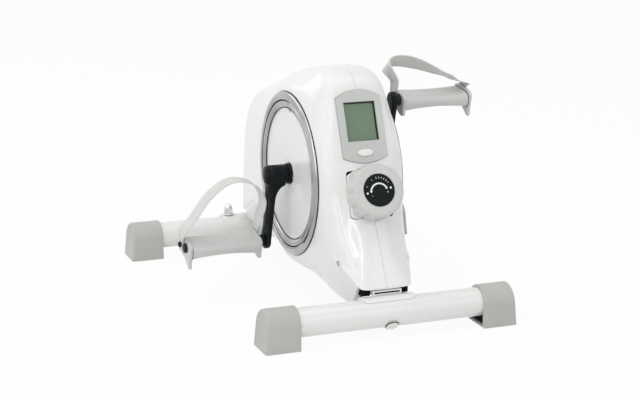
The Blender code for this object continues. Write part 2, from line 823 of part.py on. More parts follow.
def curve_between(four, t):
    """A Catmull-Rom curve between the second and the third of four points."""
    a, b, c, d = four
    return (b * 2 + (c - a) * t + (a * 2 - b * 5 + c * 4 - d) * t ** 2
            + (b * 3 - a - c * 3 + d) * t ** 3) / 2


def make_cable():
    """The tension cable's outer, from the spindle's drum over the crank bearing to the brake lever."""
    drum = control_face.at(0, 0, drum_low)
    start = drum + Vector((0, 13 * mm, 9 * mm))
    end = to_world(0, bracket_pivot_y - 9 * mm, bracket_pivot_z - lever_length + 2 * mm)
    over = crank_axis_z + bearing_shell_radius + seat_gap + cable_radius
    points = [start, to_world(0, crank_axis_y - 85 * mm, over - 4 * mm),
              to_world(0, crank_axis_y - 38 * mm, over + 2 * mm),
              to_world(0, crank_axis_y, over), to_world(0, crank_axis_y + 35 * mm, over - 4 * mm), end]
    path = smooth_path(points, 4)
    rings = []
    for i, place in enumerate(path):
        before = path[max(i - 1, 0)]
        after = path[min(i + 1, len(path) - 1)]
        along = (after - before).normalized()
        second = along.cross(Vector((1, 0, 0)))
        rings.append([place + (Vector((1, 0, 0)) * math.cos(a) + second * math.sin(a)) * cable_radius
                      for a in [math.tau * k / 8 for k in range(8)]])
    place_piece("tension_cable", loft(rings), BLACK)


# Housing: two half shells that meet in the middle plane
def profile_points():
    """The side profile as one smooth closed run, with the edge rounding at each point."""
    count = len(housing_profile)
    points = []
    for i, (_, _, _, steps) in enumerate(housing_profile):
        four = [Vector(housing_profile[(i + k) % count][:3]) * mm for k in (-1, 0, 1, 2)]
        for k in range(steps):
            points.append(curve_between(four, k / steps))
    for point in points:
        if point.x > crank_axis_y:
            point.x = crank_axis_y + (point.x - crank_axis_y) * rear_stretch
    return points


def inward_scale(points, i, centre):
    """How far to move towards the crank's axis for a given thickness square to the profile."""
    before = points[i - 1]
    after = points[(i + 1) % len(points)]
    run = Vector((after.x - before.x, after.y - before.y)).normalized()
    inward = Vector((run.y, -run.x))
    toward = Vector((centre[0] - points[i].x, centre[1] - points[i].y)).normalized()
    return 1 / max(0.45, abs(inward.dot(toward)))


def soft_step(t):
    t = min(1, max(0, t))
    return t * t * (3 - 2 * t)


def leg_half_width(behind):
    """The housing's half width away from the side covers: it narrows towards the front foot."""
    narrowing = leg_narrowing * (1 - soft_step((behind - leg_front) / leg_taper_run))
    return side_half_width - side_drop - narrowing


def side_width(behind, past_ring, run):
    """The half width of the side wall at a place past the ring's seat, where it runs on so far."""
    fall = (side_half_width - leg_half_width(behind)) * soft_step(run / side_drop_run)
    return side_half_width - fall * min(1, max(0, past_ring / run)) ** side_fall_power


def skin_at(behind, height):
    """The half width of the housing's outside at a place between a side cover and the profile."""
    place = Vector((behind - crank_axis_y, height - crank_axis_z))
    points = profile_points()

    def likeness(i):
        outward = Vector((points[i].x - crank_axis_y, points[i].y - crank_axis_z))
        return place.normalized().dot(outward.normalized())

    nearest = max(range(len(points)), key=likeness)
    point = points[nearest]
    reach = math.hypot(point.x - crank_axis_y, point.y - crank_axis_z)
    edge = point.z * inward_scale(points, nearest, (crank_axis_y, crank_axis_z))
    run = reach - edge - seat_ring_radius
    return side_width(behind, place.length - seat_ring_radius, run)


def shell_rings(side):
    """Rings of points around the crank's axis, out over the outside and back over the inside."""
    centre = (crank_axis_y, crank_axis_z)
    points = profile_points()
    bands = ((0, 0, 1, 0), (0.5, 0.06, 0.99, 0.12), (0.78, 0.22, 0.88, 0.45), (0.93, 0.52, 0.7, 0.7),
             (1, 1, 0.35, 0.93))
    shares = (0.82, 0.6, 0.38, 0.18, 0)
    outer = [[] for _ in range(len(bands) + len(shares) + 1)]
    inner = [[] for _ in outer]
    for i, point in enumerate(points):
        toward = Vector((centre[0] - point.x, centre[1] - point.y))
        reach = toward.length
        toward.normalize()
        scale = inward_scale(points, i, centre)
        edge = point.z * scale
        run = reach - edge - seat_ring_radius
        width = side_width(point.x, run, run)

        def spot(radius, x):
            return to_world(side * x, centre[0] - toward.x * radius, centre[1] - toward.y * radius)

        for k, (across, inset, radial, lateral) in enumerate(bands):
            x = max(seam_gap / 2, width * across)
            radius = reach - edge * inset
            outer[k].append(spot(radius, x))
            inner[k].append(spot(radius - shell_wall * scale * radial,
                                 max(seam_gap / 2, x - shell_wall * lateral)))
        for k, share in enumerate(shares):
            radius = seat_ring_radius + run * share
            x = side_width(centre[0] - toward.x * radius, run * share, run)
            outer[len(bands) + k].append(spot(radius, x))
            inner[len(bands) + k].append(spot(radius, x - shell_wall))
        outer[-1].append(spot(cover_hole_radius, side_half_width))
        inner[-1].append(spot(cover_hole_radius, side_half_width - shell_wall))
    kept = [ring for k, ring in enumerate(inner) if k not in (1, 3, 5, 7)]
    return outer + kept[::-1]


def boss_reach(place):
    """How far a screw boss runs from the seam: into the side wall, and short of its outside."""
    return skin_at(*place) - shell_wall / 2


def make_shell(name, side):
    shell = place_piece(name, loft(shell_rings(side), closed_loop=True), WHITE, None, 0.9)
    near = seam_gap / 2
    for y, z in screw_places:
        reach = boss_reach((y, z))
        join(shell, rod(boss_radius, to_world(side * near, y, z), to_world(side * reach, y, z), 20))
        bore_end = reach + 12 * mm if side < 0 else screw_reach + 2 * mm
        cut(shell, rod(screw_radius + seat_gap, to_world(side * (near - 1 * mm), y, z),
                       to_world(side * bore_end, y, z), 16))
        if side < 0:
            floor = reach - screw_recess_depth
            cut(shell, rod(screw_head_radius + seat_gap, to_world(side * floor, y, z),
                           to_world(side * (reach + 12 * mm), y, z), 20))
    cut(shell, console_face.slab(bezel_outline(seat_gap), -9 * mm, 12 * mm))
    opening = rounded_outline(control_width + 2 * base_gap, control_height + 2 * base_gap, 5 * mm)
    cut(shell, control_face.slab(opening, -9 * mm, 12 * mm))
    slot_low = min(side * slot_half_width, -side * 5 * mm)
    slot_high = max(side * slot_half_width, -side * 5 * mm)
    slot_top = tongue_base() + tongue_thickness + rail_clearance
    cut(shell, block(to_world(slot_low, 8 * mm, 20 * mm),
                     to_world(slot_high, tube_spacing - 8 * mm, slot_top)))


def make_housing_screws():
    for (y, z), name in zip(screw_places, ("front_housing_screw", "rear_housing_screw")):
        head = boss_reach((y, z)) - screw_recess_depth + seat_gap
        top = head + screw_head_height
        profile = [(0, -screw_reach), (screw_radius, -screw_reach), (screw_radius, head),
                   (screw_head_radius, head), (screw_head_radius, top - 1 * mm),
                   (screw_head_radius - 1.2 * mm, top), (0, top)]
        place_piece(name, turned(profile, to_world(0, y, z), (-1, 0, 0), 16), STEEL)


# Side covers and their chrome rings
def make_side_cover(name, side):
    back = side_half_width - cover_thickness
    profile = [(cover_bore_radius, back), (cover_radius, back), (cover_radius, side_half_width),
               (cover_bore_radius, side_half_width)]
    centre = to_world(0, crank_axis_y, crank_axis_z)
    cover = place_piece(name, turned(profile, centre, (side, 0, 0), 48), WHITE)
    notch_low = crank_axis_z + ring_inner_radius - 5 * mm
    low_x, high_x = sorted((side * (back - 1 * mm), side * (side_half_width + 1 * mm)))
    cut(cover, block(to_world(low_x, crank_axis_y - 2.5 * mm, notch_low),
                     to_world(high_x, crank_axis_y + 2.5 * mm, notch_low + 20 * mm)))


def make_trim_ring(name, side):
    base = side_half_width + seat_gap
    top = base + ring_height
    outer = ring_outer_radius
    inner = ring_inner_radius
    groove = 0.865 * ring_outer_radius
    profile = [(inner, base), (outer, base), (outer, base + 1.2 * mm),
               (outer - 1.6 * mm, base + 3.2 * mm), (outer - 5 * mm, top),
               (groove + 3 * mm, top - 0.4 * mm), (groove, base + 2.2 * mm),
               (groove - 2.6 * mm, base + 3.6 * mm), (inner, base + 1 * mm)]
    centre = to_world(0, crank_axis_y, crank_axis_z)
    place_piece(name, turned(profile, centre, (side, 0, 0), 44), CHROME)


# Console on the housing's upper front
def bezel_outline(grow):
    """Straight sides with an arched top and a bowed bottom, in the console's plane."""
    half = bezel_width / 2
    points = []
    for corner, apex, sign in ((bezel_top_corner, bezel_top_apex, 1),
                               (bezel_bottom_corner, bezel_bottom_apex, -1)):
        for i in range(13):
            u = sign * (half - bezel_width * i / 12)
            rise = 1 - (u / half) ** 2
            points.append((u, corner + (apex - corner) * rise))
    grown = []
    count = len(points)
    for i, (u, v) in enumerate(points):
        run = (Vector(points[(i + 1) % count]) - Vector(points[i - 1])).normalized()
        grown.append((u + run.y * grow, v - run.x * grow))
    return grown


def oval_outline(width, height, steps=24):
    return [(width / 2 * math.cos(math.tau * i / steps), height / 2 * math.sin(math.tau * i / steps))
            for i in range(steps)]


def make_console(button):
    rear = bezel_proud - bezel_depth
    bezel = place_piece("console_bezel", console_face.slab(bezel_outline(0), rear, bezel_proud), GREY)
    inside = bezel_proud - bezel_front_wall
    cut(bezel, console_face.slab(bezel_outline(-bezel_side_wall), rear - 1 * mm, inside))
    display = rounded_outline(display_width, display_height, 0.8 * mm, 2)
    cut(bezel, console_face.slab(display, inside - 1 * mm, bezel_proud + 1 * mm))
    hole = oval_outline(button_width + 2 * seat_gap, button_height + 2 * seat_gap)
    cut(bezel, console_face.slab(hole, inside - 1 * mm, bezel_proud + 1 * mm, -button_below))
    lap = 6 * mm
    window_high = inside - seat_gap
    window_low = window_high - window_thickness
    window = rounded_outline(display_width + lap, display_height + lap, 1 * mm, 2)
    place_piece("lcd_window", console_face.slab(window, window_low, window_high), GLASS)
    panel_high = window_low - seat_gap
    panel_low = panel_high - 3.4 * mm
    panel = rounded_outline(display_width + 2 * mm, display_height + 2 * mm, 0.6 * mm, 2)
    place_piece("lcd_panel", console_face.slab(panel, panel_low, panel_high), GREEN)
    board_high = panel_low - seat_gap
    board_low = board_high - 1.6 * mm
    board = rounded_outline(50 * mm, 74 * mm, 2 * mm, 2)
    place_piece("console_circuit_board", console_face.slab(board, board_low, board_high, -7 * mm), GREEN)
    rim = rear - seat_gap
    tray = console_face.slab(bezel_outline(-seat_gap), console_cover_low, rim)
    cover = place_piece("console_back_cover", tray, BLACK)
    hollow = bezel_outline(-seat_gap - 2.5 * mm)
    cut(cover, console_face.slab(hollow, console_cover_low + 2 * mm, rim + 1 * mm))
    cap_low = inside - button_travel - 1.8 * mm
    cap_outline = oval_outline(button_width, button_height)
    cap = console_face.slab(cap_outline, cap_low, bezel_proud + 1.2 * mm, -button_below)
    push = place_piece("console_button", cap, WHITE, button)
    stop = oval_outline(button_width + 4 * mm, button_height + 4 * mm)
    stop_high = inside - seat_gap
    join(push, console_face.slab(stop, stop_high - 1.2 * mm, stop_high, -button_below))


# Tension control on the housing's lower front
def make_control(knob):
    steps = 60

    def lobed(radius, depth):
        ring = []
        for i in range(steps):
            angle = math.tau * i / steps
            notch = max(0.0, math.cos(angle * knob_lobes)) ** 2
            reach = radius - depth * notch
            ring.append((math.cos(angle) * reach, math.sin(angle) * reach))
        return ring

    half_w = control_width / 2
    half_h = control_height / 2
    chamfer = 9 * mm
    outline = [(half_w, half_h - 3 * mm), (half_w - 3 * mm, half_h), (-half_w + chamfer, half_h),
               (-half_w, half_h - chamfer * 0.55), (-half_w, -half_h + 5 * mm),
               (-half_w + 1.4 * mm, -half_h + 1.4 * mm), (-half_w + 5 * mm, -half_h),
               (half_w - chamfer, -half_h), (half_w, -half_h + chamfer * 0.55)]
    rear = control_proud - control_depth
    base = place_piece("tension_base", control_face.slab(outline, rear, control_proud), WHITE)
    hollow = [(u * 0.9, v * 0.9) for u, v in outline]
    cut(base, control_face.slab(hollow, rear - 1 * mm, control_proud - 3 * mm))
    bore = spindle_radius + seat_gap
    cut(base, rod(bore, control_face.at(0, 0, -20 * mm), control_face.at(0, 0, 20 * mm), 24))
    low = control_proud + 1 * mm
    high = low + knob_depth
    rings = []
    for radius, depth, out in ((knob_radius - 1 * mm, knob_lobe_depth, low),
                               (knob_radius, knob_lobe_depth, low + 1 * mm),
                               (knob_radius - 0.6 * mm, knob_lobe_depth, high - 6 * mm),
                               (knob_face_radius + 0.8 * mm, knob_lobe_depth * 0.3, high - 2 * mm),
                               (knob_face_radius, 0, high - 0.6 * mm),
                               (knob_face_radius - 1 * mm, 0, high)):
        rings.append([control_face.at(u, v, out) for u, v in lobed(radius, depth)])
    dial = place_piece("tension_knob", loft(rings), GREY, knob)
    end = low + 14 * mm
    cut(dial, rod(bore, control_face.at(0, 0, low - 5 * mm), control_face.at(0, 0, end + seat_gap), 24))
    recess = oval_outline(2.03 * label_radius, 2.03 * label_radius, 48)
    cut(dial, control_face.slab(recess, high - 0.6 * mm, high + 2 * mm))
    label = oval_outline(2 * label_radius, 2 * label_radius, 48)
    place_piece("knob_label", control_face.slab(label, high - 0.3 * mm, high + 0.3 * mm), BLACK, knob)
    stem = [(0, drum_low), (drum_radius, drum_low), (drum_radius, drum_low + 4 * mm),
            (spindle_radius, drum_low + 4 * mm), (spindle_radius, end), (0, end)]
    spindle = turned(stem, control_face.at(0, 0, 0), control_face.out, 16)
    place_piece("tension_spindle", spindle, STEEL, knob)


# Cranks
def arm_direction(side):
    """From the crank's axis towards the pedal: the right arm points up and the left arm down."""
    return Vector((0, math.sin(crank_lean), math.cos(crank_lean))) * (1 if side > 0 else -1)


def pedal_centre(side):
    return to_world(0, crank_axis_y, crank_axis_z) + arm_direction(side) * crank_length


def arm_stations():
    """The arm from the crank's axis to past the pedal: distance, inner plane, outer plane, half width."""
    fillet = [boss_outer_radius + arm_root_fillet * t for t in (0, 0.12, 0.32, 0.6, 1)]
    stations = []
    for distance in [0] + fillet + [crank_length * 0.5, crank_length * 0.75, crank_length]:
        share = distance / crank_length
        past_boss = min(1, max(0, (distance - boss_outer_radius) / arm_root_fillet))
        flare = arm_root_flare * (1 - math.sqrt(1 - (1 - past_boss) ** 2))
        thickness = arm_thickness + (arm_end_thickness - arm_thickness) * share + flare
        outside = boss_outer_plane - arm_step + (arm_lean_out + arm_step) * share ** arm_lean_power
        half = arm_half_width + (arm_end_half_width - arm_half_width) * share
        stations.append((distance, outside - thickness, outside, half))
    for angle in (0.45, 0.85, 1.2, 1.45):
        inset = arm_corner * 0.4 * (1 - math.cos(angle))
        stations.append((crank_length + arm_end_reach * math.sin(angle),
                         arm_end_plane - arm_end_thickness + inset, arm_end_plane - inset,
                         arm_end_half_width * math.cos(angle)))
    return stations


def make_crank(side, crank):
    name = "right" if side > 0 else "left"
    centre = to_world(0, crank_axis_y, crank_axis_z)
    along = arm_direction(side)
    across = along.cross(Vector((1, 0, 0)))
    sections = []
    for distance, low, high, half in arm_stations():
        middle = (low + high) / 2
        section = []
        for u, v in rounded_outline(2 * half, high - low, min(arm_corner, half * 0.8), 2):
            section.append(centre + along * distance + across * u + Vector((side * (middle + v), 0, 0)))
        sections.append(section)
    arm = place_piece(name + "_crank", loft(sections), BLACK, crank)
    inner = side * flange_plane
    outer = side * boss_outer_plane
    neck_end = boss_inner_plane - flange_plane
    full = boss_outer_plane - flange_plane
    neck = boss_outer_radius - 1.2 * mm
    boss = [(0, 0), (flange_radius - 0.6 * mm, 0), (flange_radius, 0.6 * mm),
            (flange_radius, flange_length), (neck, flange_length), (neck, neck_end),
            (boss_outer_radius, neck_end), (boss_outer_radius, full - 1 * mm),
            (boss_outer_radius - 1 * mm, full), (0, full)]
    join(arm, turned(boss, centre + Vector((inner, 0, 0)), (side, 0, 0), 24))
    bore = axle_end_radius + seat_gap
    cut(arm, rod(bore, centre + Vector((inner - side * 5 * mm, 0, 0)),
                 centre + Vector((outer + side * 5 * mm, 0, 0)), 24))
    hole = pedal_spindle_radius + seat_gap
    end = pedal_centre(side)
    cut(arm, rod(hole, end + Vector((side * (arm_end_plane - 2 * arm_thickness), 0, 0)),
                 end + Vector((side * (arm_end_plane + arm_thickness), 0, 0)), 24))
    low = boss_outer_plane + seat_gap
    plug = boss_outer_plane - 4 * mm + seat_gap
    edge = boss_outer_radius - 0.6 * mm
    rise = low + 1 * mm
    cap = [(0, plug), (axle_end_radius, plug), (axle_end_radius, low), (edge, low)]
    cap += [(edge * math.cos(a), rise + crank_cap_height * math.sin(a)) for a in (0, 0.45, 0.9, 1.3)]
    cap += [(0, rise + crank_cap_height)]
    place_piece(name + "_crank_cap", turned(cap, centre, (side, 0, 0), 24), BLACK, crank)


# Pedals and straps
def plate_points(tip):
    """A pedal end plate from the side, in mm: distance behind the spindle and height. Its toe hangs down
    to a tip."""
    return ((-15.6, 2.6), (-12, 6.4), (-4, 8.8), (8, 10.4), (20, 11.6), (28, 12), (31.2, 10), (31.6, 5),
            (28.5, -5), (24.5, -12), (20, -14.4), (10, -16), (2, -13 - tip * 0.3),
            (-4, -8 - tip * 0.62), (-8, -tip), (-10.4, 1.2 - tip), (-12, -7 - tip * 0.35), (-14.4, -7),
            (-16.4, 0))


def body_points():
    """The pedal body between its end plates, in mm, as many points as a plate has."""
    return ((-14.3, 0.4), (-11.6, 3.4), (-7, 5.5), (0, 7), (8, 7.9), (19, 8.8), (26, 9), (29.3, 7.2),
            (30, 2.6), (27.4, -5.4), (24, -11), (19, -13.4), (10, -14.2), (2, -14.6), (-5, -15),
            (-9.6, -14.6), (-12.8, -12.2), (-14.7, -8.6), (-15.4, -4))


def make_pedal(side, crank, pedal):
    name = "right" if side > 0 else "left"
    centre = pedal_centre(side)
    inner = pedal_inner_plane
    outer = pedal_inner_plane + pedal_length

    def section(points, x, tall=1.0, deep=1.0):
        return [centre + Vector((side * x, y * deep * mm, z * tall * mm)) for y, z in points]

    inner_plate = plate_points(pedal_inner_tip / mm)
    outer_plate = plate_points(pedal_outer_tip / mm)
    plate = loft([section(inner_plate, inner), section(inner_plate, inner + pedal_plate)])
    body = place_piece(name + "_pedal", plate, GREY, pedal)
    join(body, loft([section(outer_plate, outer - pedal_plate), section(outer_plate, outer)]))
    rings = []
    start = inner + pedal_plate - 1 * mm
    end = outer - pedal_plate + 1 * mm
    count = 10
    for i in range(count + 1):
        t = i / count
        waist = pedal_waist + (1 - pedal_waist) * (2 * t - 1) ** 2
        rings.append(section(body_points(), start + (end - start) * t, waist, 0.9 + 0.1 * waist))
    join(body, loft(rings))
    bore = pedal_shaft_radius + seat_gap
    cut(body, rod(bore, centre + Vector((side * (inner - 5 * mm), 0, 0)),
                  centre + Vector((side * (outer + 5 * mm), 0, 0)), 24))
    collar = inner - seat_gap
    shoulder = arm_end_plane + seat_gap
    head = outer + seat_gap
    root = arm_end_plane - arm_end_thickness
    head_radius = collar_radius - 1.5 * mm
    stem = [(0, root), (pedal_spindle_radius, root), (pedal_spindle_radius, shoulder),
            (collar_radius, shoulder), (collar_radius, collar), (pedal_shaft_radius, collar),
            (pedal_shaft_radius, head), (head_radius, head), (head_radius, head + 3 * mm),
            (head_radius - 1.5 * mm, head + 4.5 * mm), (0, head + 4.5 * mm)]
    place_piece(name + "_pedal_spindle", turned(stem, centre, (side, 0, 0), 18), BLACK, crank)


# A strap's run in millimetres: each tab as how far it stands off its end plate, its height, and the
# band's middle and half width there, then the arch as distances in from the outer tab, and heights.
outer_tab = ((0, -18, 11, 7), (0, -13, 11, 9), (0, -3, 10.5, 10), (0.8, 4, 7, 12))
left_strap_arch = ((-1.4, 11), (3, 19), (11.5, 27), (22.5, 42), (34.5, 57), (48.5, 69), (62.5, 76.5),
                   (75.5, 78.5), (88.5, 76), (100, 70.5), (107.8, 62), (113, 50.5), (112.7, 39.5),
                   (108.5, 27))
right_strap_arch = ((0.2, 7.4), (4.6, 9.4), (10, 10.4), (17, 13), (26, 19), (36.5, 23), (46, 28.6),
                    (59, 37.4), (67.5, 43), (80, 48.4), (95, 50), (106.6, 46.4), (112.4, 38.4),
                    (112.2, 30), (109, 21))
inner_tab = ((0.6, 15, 3, 14), (0, 8, 7, 12), (0, 1, 10, 10), (0, -6, 11, 9), (0, -13, 11, 9),
             (0, -18, 11, 7))


def make_strap(side, pedal):
    """A soft band from the outer end plate over the foot to the inner end plate."""
    name = "right" if side > 0 else "left"
    centre = pedal_centre(side)
    inner = pedal_inner_plane - seat_gap - strap_thickness / 2
    outer = pedal_inner_plane + pedal_length + seat_gap + strap_thickness / 2
    lean = right_strap_lean if side > 0 else 0
    path = []
    for past, height, middle, half in outer_tab:
        path.append(Vector((outer / mm + past, height, middle, half)))
    for short, height in (right_strap_arch if side > 0 else left_strap_arch):
        path.append(Vector((outer / mm - short, height, 0, strap_half_width / mm)))
    for past, height, middle, half in inner_tab:
        path.append(Vector((inner / mm - past, height, middle, half)))
    smooth = smooth_path(path, 2)
    rings = []
    for i, place in enumerate(smooth):
        before = smooth[max(i - 1, 0)]
        after = smooth[min(i + 1, len(smooth) - 1)]
        x, height, middle, half = [value * mm for value in place]
        run = Vector((after[0] - before[0], after[1] - before[1])).normalized()
        normal = Vector((run.y, -run.x)) * strap_thickness / 2
        tilt = lean * soft_step((height - lean_start) / lean_run)
        ring = []
        for across, thick in ((-1, -1), (1, -1), (1, 1), (-1, 1)):
            wide = middle + across * half
            tall = height + normal.y * thick
            ring.append(centre + Vector((side * (x + normal.x * thick),
                                         strap_foot_y + wide * math.cos(tilt) + tall * math.sin(tilt),
                                         strap_foot_z - wide * math.sin(tilt) + tall * math.cos(tilt))))
        rings.append(ring)
    band = place_piece(name + "_strap", loft(rings), STRAP, pedal)
    stud_y = strap_foot_y + 11 * mm
    stud_z = strap_foot_z - 8 * mm
    place = centre + Vector((0, stud_y, stud_z))
    hole = stud_radius * 0.5 + seat_gap
    far = pedal_inner_plane + pedal_length + 10 * mm
    cut(band, rod(hole, place + Vector((side * (pedal_inner_plane - 8 * mm), 0, 0)),
                  place + Vector((side * far, 0, 0)), 16))
    plate = bpy.data.objects[name + "_pedal"]
    cut(plate, rod(hole, place + Vector((side * (pedal_inner_plane - 8 * mm), 0, 0)),
                   place + Vector((side * (pedal_inner_plane + pedal_plate + 2 * mm), 0, 0)), 16))
    cut(plate, rod(hole, place + Vector((side * (far - pedal_plate - 12 * mm), 0, 0)),
                   place + Vector((side * far, 0, 0)), 16))
    outside = outer + strap_thickness / 2 + seat_gap
    inside = inner - strap_thickness / 2 - seat_gap
    pin = stud_radius * 0.5
    tail = outside - pedal_plate - 2 * mm
    outer_stud = [(0, tail), (pin, tail), (pin, outside), (stud_radius, outside),
                  (stud_radius, outside + 2.4 * mm), (stud_radius * 0.6, outside + 3.4 * mm),
                  (0, outside + 3.4 * mm)]
    tail = inside + pedal_plate + 1 * mm
    inner_stud = [(0, inside - 1 * mm), (stud_radius, inside - 1 * mm), (stud_radius, inside),
                  (pin, inside), (pin, tail), (0, tail)]
    place_piece(name + "_strap_outer_stud", turned(outer_stud, place, (side, 0, 0), 14), BLACK, pedal)
    place_piece(name + "_strap_inner_stud", turned(inner_stud, place, (side, 0, 0), 14), BLACK, pedal)


# The whole bike
clear_scene()
make_tube("front", front_span)
make_tube("rear", rear_span)
for cap_side in (-1, 1):
    make_cap("front", cap_side, front_span)
    make_cap("rear", cap_side, rear_span)
make_saddle("front", 28, -100, front_saddle_width)
make_saddle("rear", 95, -60, rear_saddle_width)
make_bolts("front")
make_bolts("rear")
make_frame()
make_crank_bearing()

crank_joint = joint_empty("crank_joint", to_world(0, crank_axis_y, crank_axis_z))
flywheel_joint = joint_empty("flywheel_joint", to_world(0, flywheel_axis_y, flywheel_axis_z))
brake_joint = joint_empty("brake_joint", to_world(0, bracket_pivot_y, bracket_pivot_z))
knob_joint = joint_empty("knob_joint", control_face.at(0, 0, 0))
button_joint = joint_empty("button_joint", console_face.at(0, -button_below, 0))

make_crank_axle(crank_joint)
make_drive_pulley(crank_joint)
make_flywheel(flywheel_joint)
make_belt()
make_brake(brake_joint)
make_cable()
make_shell("left_housing_shell", -1)
make_shell("right_housing_shell", 1)
make_housing_screws()
make_side_cover("left_disc_cover", -1)
make_side_cover("right_disc_cover", 1)
make_trim_ring("left_trim_ring", -1)
make_trim_ring("right_trim_ring", 1)
make_console(button_joint)
make_control(knob_joint)
for pedal_side in (-1, 1):
    label = "right" if pedal_side > 0 else "left"
    pedal_joint = joint_empty(label + "_pedal_joint", pedal_centre(pedal_side), crank_joint)
    make_crank(pedal_side, crank_joint)
    make_pedal(pedal_side, crank_joint, pedal_joint)
    make_strap(pedal_side, pedal_joint)
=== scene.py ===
import math
import bmesh
import bpy
from mathutils import Matrix, Vector


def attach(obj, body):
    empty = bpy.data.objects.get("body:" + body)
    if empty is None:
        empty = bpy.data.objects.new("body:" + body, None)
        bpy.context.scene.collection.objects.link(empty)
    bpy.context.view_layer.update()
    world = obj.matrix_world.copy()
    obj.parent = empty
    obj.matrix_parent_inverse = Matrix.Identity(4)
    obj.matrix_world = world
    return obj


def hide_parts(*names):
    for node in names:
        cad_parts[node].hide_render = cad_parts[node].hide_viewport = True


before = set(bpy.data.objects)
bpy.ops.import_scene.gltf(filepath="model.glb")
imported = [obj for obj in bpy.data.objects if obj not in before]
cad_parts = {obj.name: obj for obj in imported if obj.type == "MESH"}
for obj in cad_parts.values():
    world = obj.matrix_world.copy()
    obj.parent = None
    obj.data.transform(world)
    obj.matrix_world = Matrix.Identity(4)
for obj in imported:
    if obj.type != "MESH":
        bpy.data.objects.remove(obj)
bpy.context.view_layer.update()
mm = 0.001

# The room. A white floor and surroundings, as in a catalogue picture, four large soft lamps, a tall
# strip lamp that draws a highlight down the housing's front edge, and the camera at the front left.
camera_yaw = 0.370
camera_pitch = 0.250
camera_roll = 0.004
camera_distance = 2.0939
camera_target = Vector((-0.0942, -0.229, 0.1873))
camera_data = bpy.data.cameras.new("camera")
camera = bpy.data.objects.new("camera", camera_data)
bpy.context.scene.collection.objects.link(camera)
bpy.context.scene.camera = camera
camera_data.sensor_width = 36
camera_data.lens = 94.8
camera_data.clip_start = 0.05
ahead = Vector((math.sin(camera_yaw) * math.cos(camera_pitch),
                math.cos(camera_yaw) * math.cos(camera_pitch), -math.sin(camera_pitch)))
level_right = Vector((math.cos(camera_yaw), -math.sin(camera_yaw), 0))
level_up = level_right.cross(ahead)
right_way = level_right * math.cos(camera_roll) + level_up * math.sin(camera_roll)
up_way = level_up * math.cos(camera_roll) - level_right * math.sin(camera_roll)
stand = camera_target - ahead * camera_distance
camera.matrix_world = Matrix(((right_way.x, up_way.x, -ahead.x, stand.x),
                              (right_way.y, up_way.y, -ahead.y, stand.y),
                              (right_way.z, up_way.z, -ahead.z, stand.z), (0, 0, 0, 1)))
bpy.context.scene.view_settings.view_transform = "Standard"


def seen_directly(tree):
    """1 for rays from the camera, and for those that a mirror or a pane of glass passes on."""
    ray = tree.nodes.new("ShaderNodeLightPath")
    shiny = tree.nodes.new("ShaderNodeMath")
    shiny.operation = "MAXIMUM"
    either = tree.nodes.new("ShaderNodeMath")
    either.operation = "MAXIMUM"
    tree.links.new(ray.outputs["Is Camera Ray"], shiny.inputs[0])
    tree.links.new(ray.outputs["Is Glossy Ray"], shiny.inputs[1])
    tree.links.new(shiny.outputs[0], either.inputs[0])
    tree.links.new(ray.outputs["Is Transmission Ray"], either.inputs[1])
    return either.outputs[0]


room = bpy.data.worlds.new("studio")
bpy.context.scene.world = room
room.use_nodes = True
tree = room.node_tree
tree.nodes.clear()
lit = tree.nodes.new("ShaderNodeBackground")
lit.inputs["Color"].default_value = (1, 1, 0.985, 1)
lit.inputs["Strength"].default_value = 0.54
white = tree.nodes.new("ShaderNodeBackground")
white.inputs["Color"].default_value = (1, 1, 1, 1)
white.inputs["Strength"].default_value = 1
choice = tree.nodes.new("ShaderNodeMixShader")
tree.links.new(seen_directly(tree), choice.inputs[0])
tree.links.new(lit.outputs[0], choice.inputs[1])
tree.links.new(white.outputs[0], choice.inputs[2])
tree.links.new(choice.outputs[0], tree.nodes.new("ShaderNodeOutputWorld").inputs["Surface"])

floor_half = 40
floor_level = -0.2 * mm
floor_mesh = bpy.data.meshes.new("floor")
floor_corners = [(x * floor_half, y * floor_half, floor_level)
                 for x, y in ((-1, -1), (1, -1), (1, 1), (-1, 1))]
floor_mesh.from_pydata(floor_corners, [], [(0, 1, 2, 3)])
floor = bpy.data.objects.new("floor", floor_mesh)
bpy.context.scene.collection.objects.link(floor)
floor_paper = bpy.data.materials.new("floor_paper")
floor_paper.use_nodes = True
tree = floor_paper.node_tree
tree.nodes["Principled BSDF"].inputs["Base Color"].default_value = (0.9, 0.9, 0.9, 1)
tree.nodes["Principled BSDF"].inputs["Roughness"].default_value = 0.9
glow = tree.nodes.new("ShaderNodeEmission")
share = tree.nodes.new("ShaderNodeMath")
share.operation = "MULTIPLY"
share.inputs[1].default_value = 0.93
choice = tree.nodes.new("ShaderNodeMixShader")
tree.links.new(seen_directly(tree), share.inputs[0])
tree.links.new(share.outputs[0], choice.inputs[0])
tree.links.new(tree.nodes["Principled BSDF"].outputs[0], choice.inputs[1])
tree.links.new(glow.outputs[0], choice.inputs[2])
tree.links.new(choice.outputs[0], tree.nodes["Material Output"].inputs["Surface"])
floor_mesh.materials.append(floor_paper)


def soft_lamp(name, position, aim, width, height, watts):
    lamp = bpy.data.lights.new(name, "AREA")
    lamp.shape = "RECTANGLE"
    lamp.size = width
    lamp.size_y = height
    lamp.energy = watts
    box = bpy.data.objects.new(name, lamp)
    bpy.context.scene.collection.objects.link(box)
    box.location = position
    box.rotation_euler = (Vector(aim) - Vector(position)).to_track_quat("-Z", "Y").to_euler()


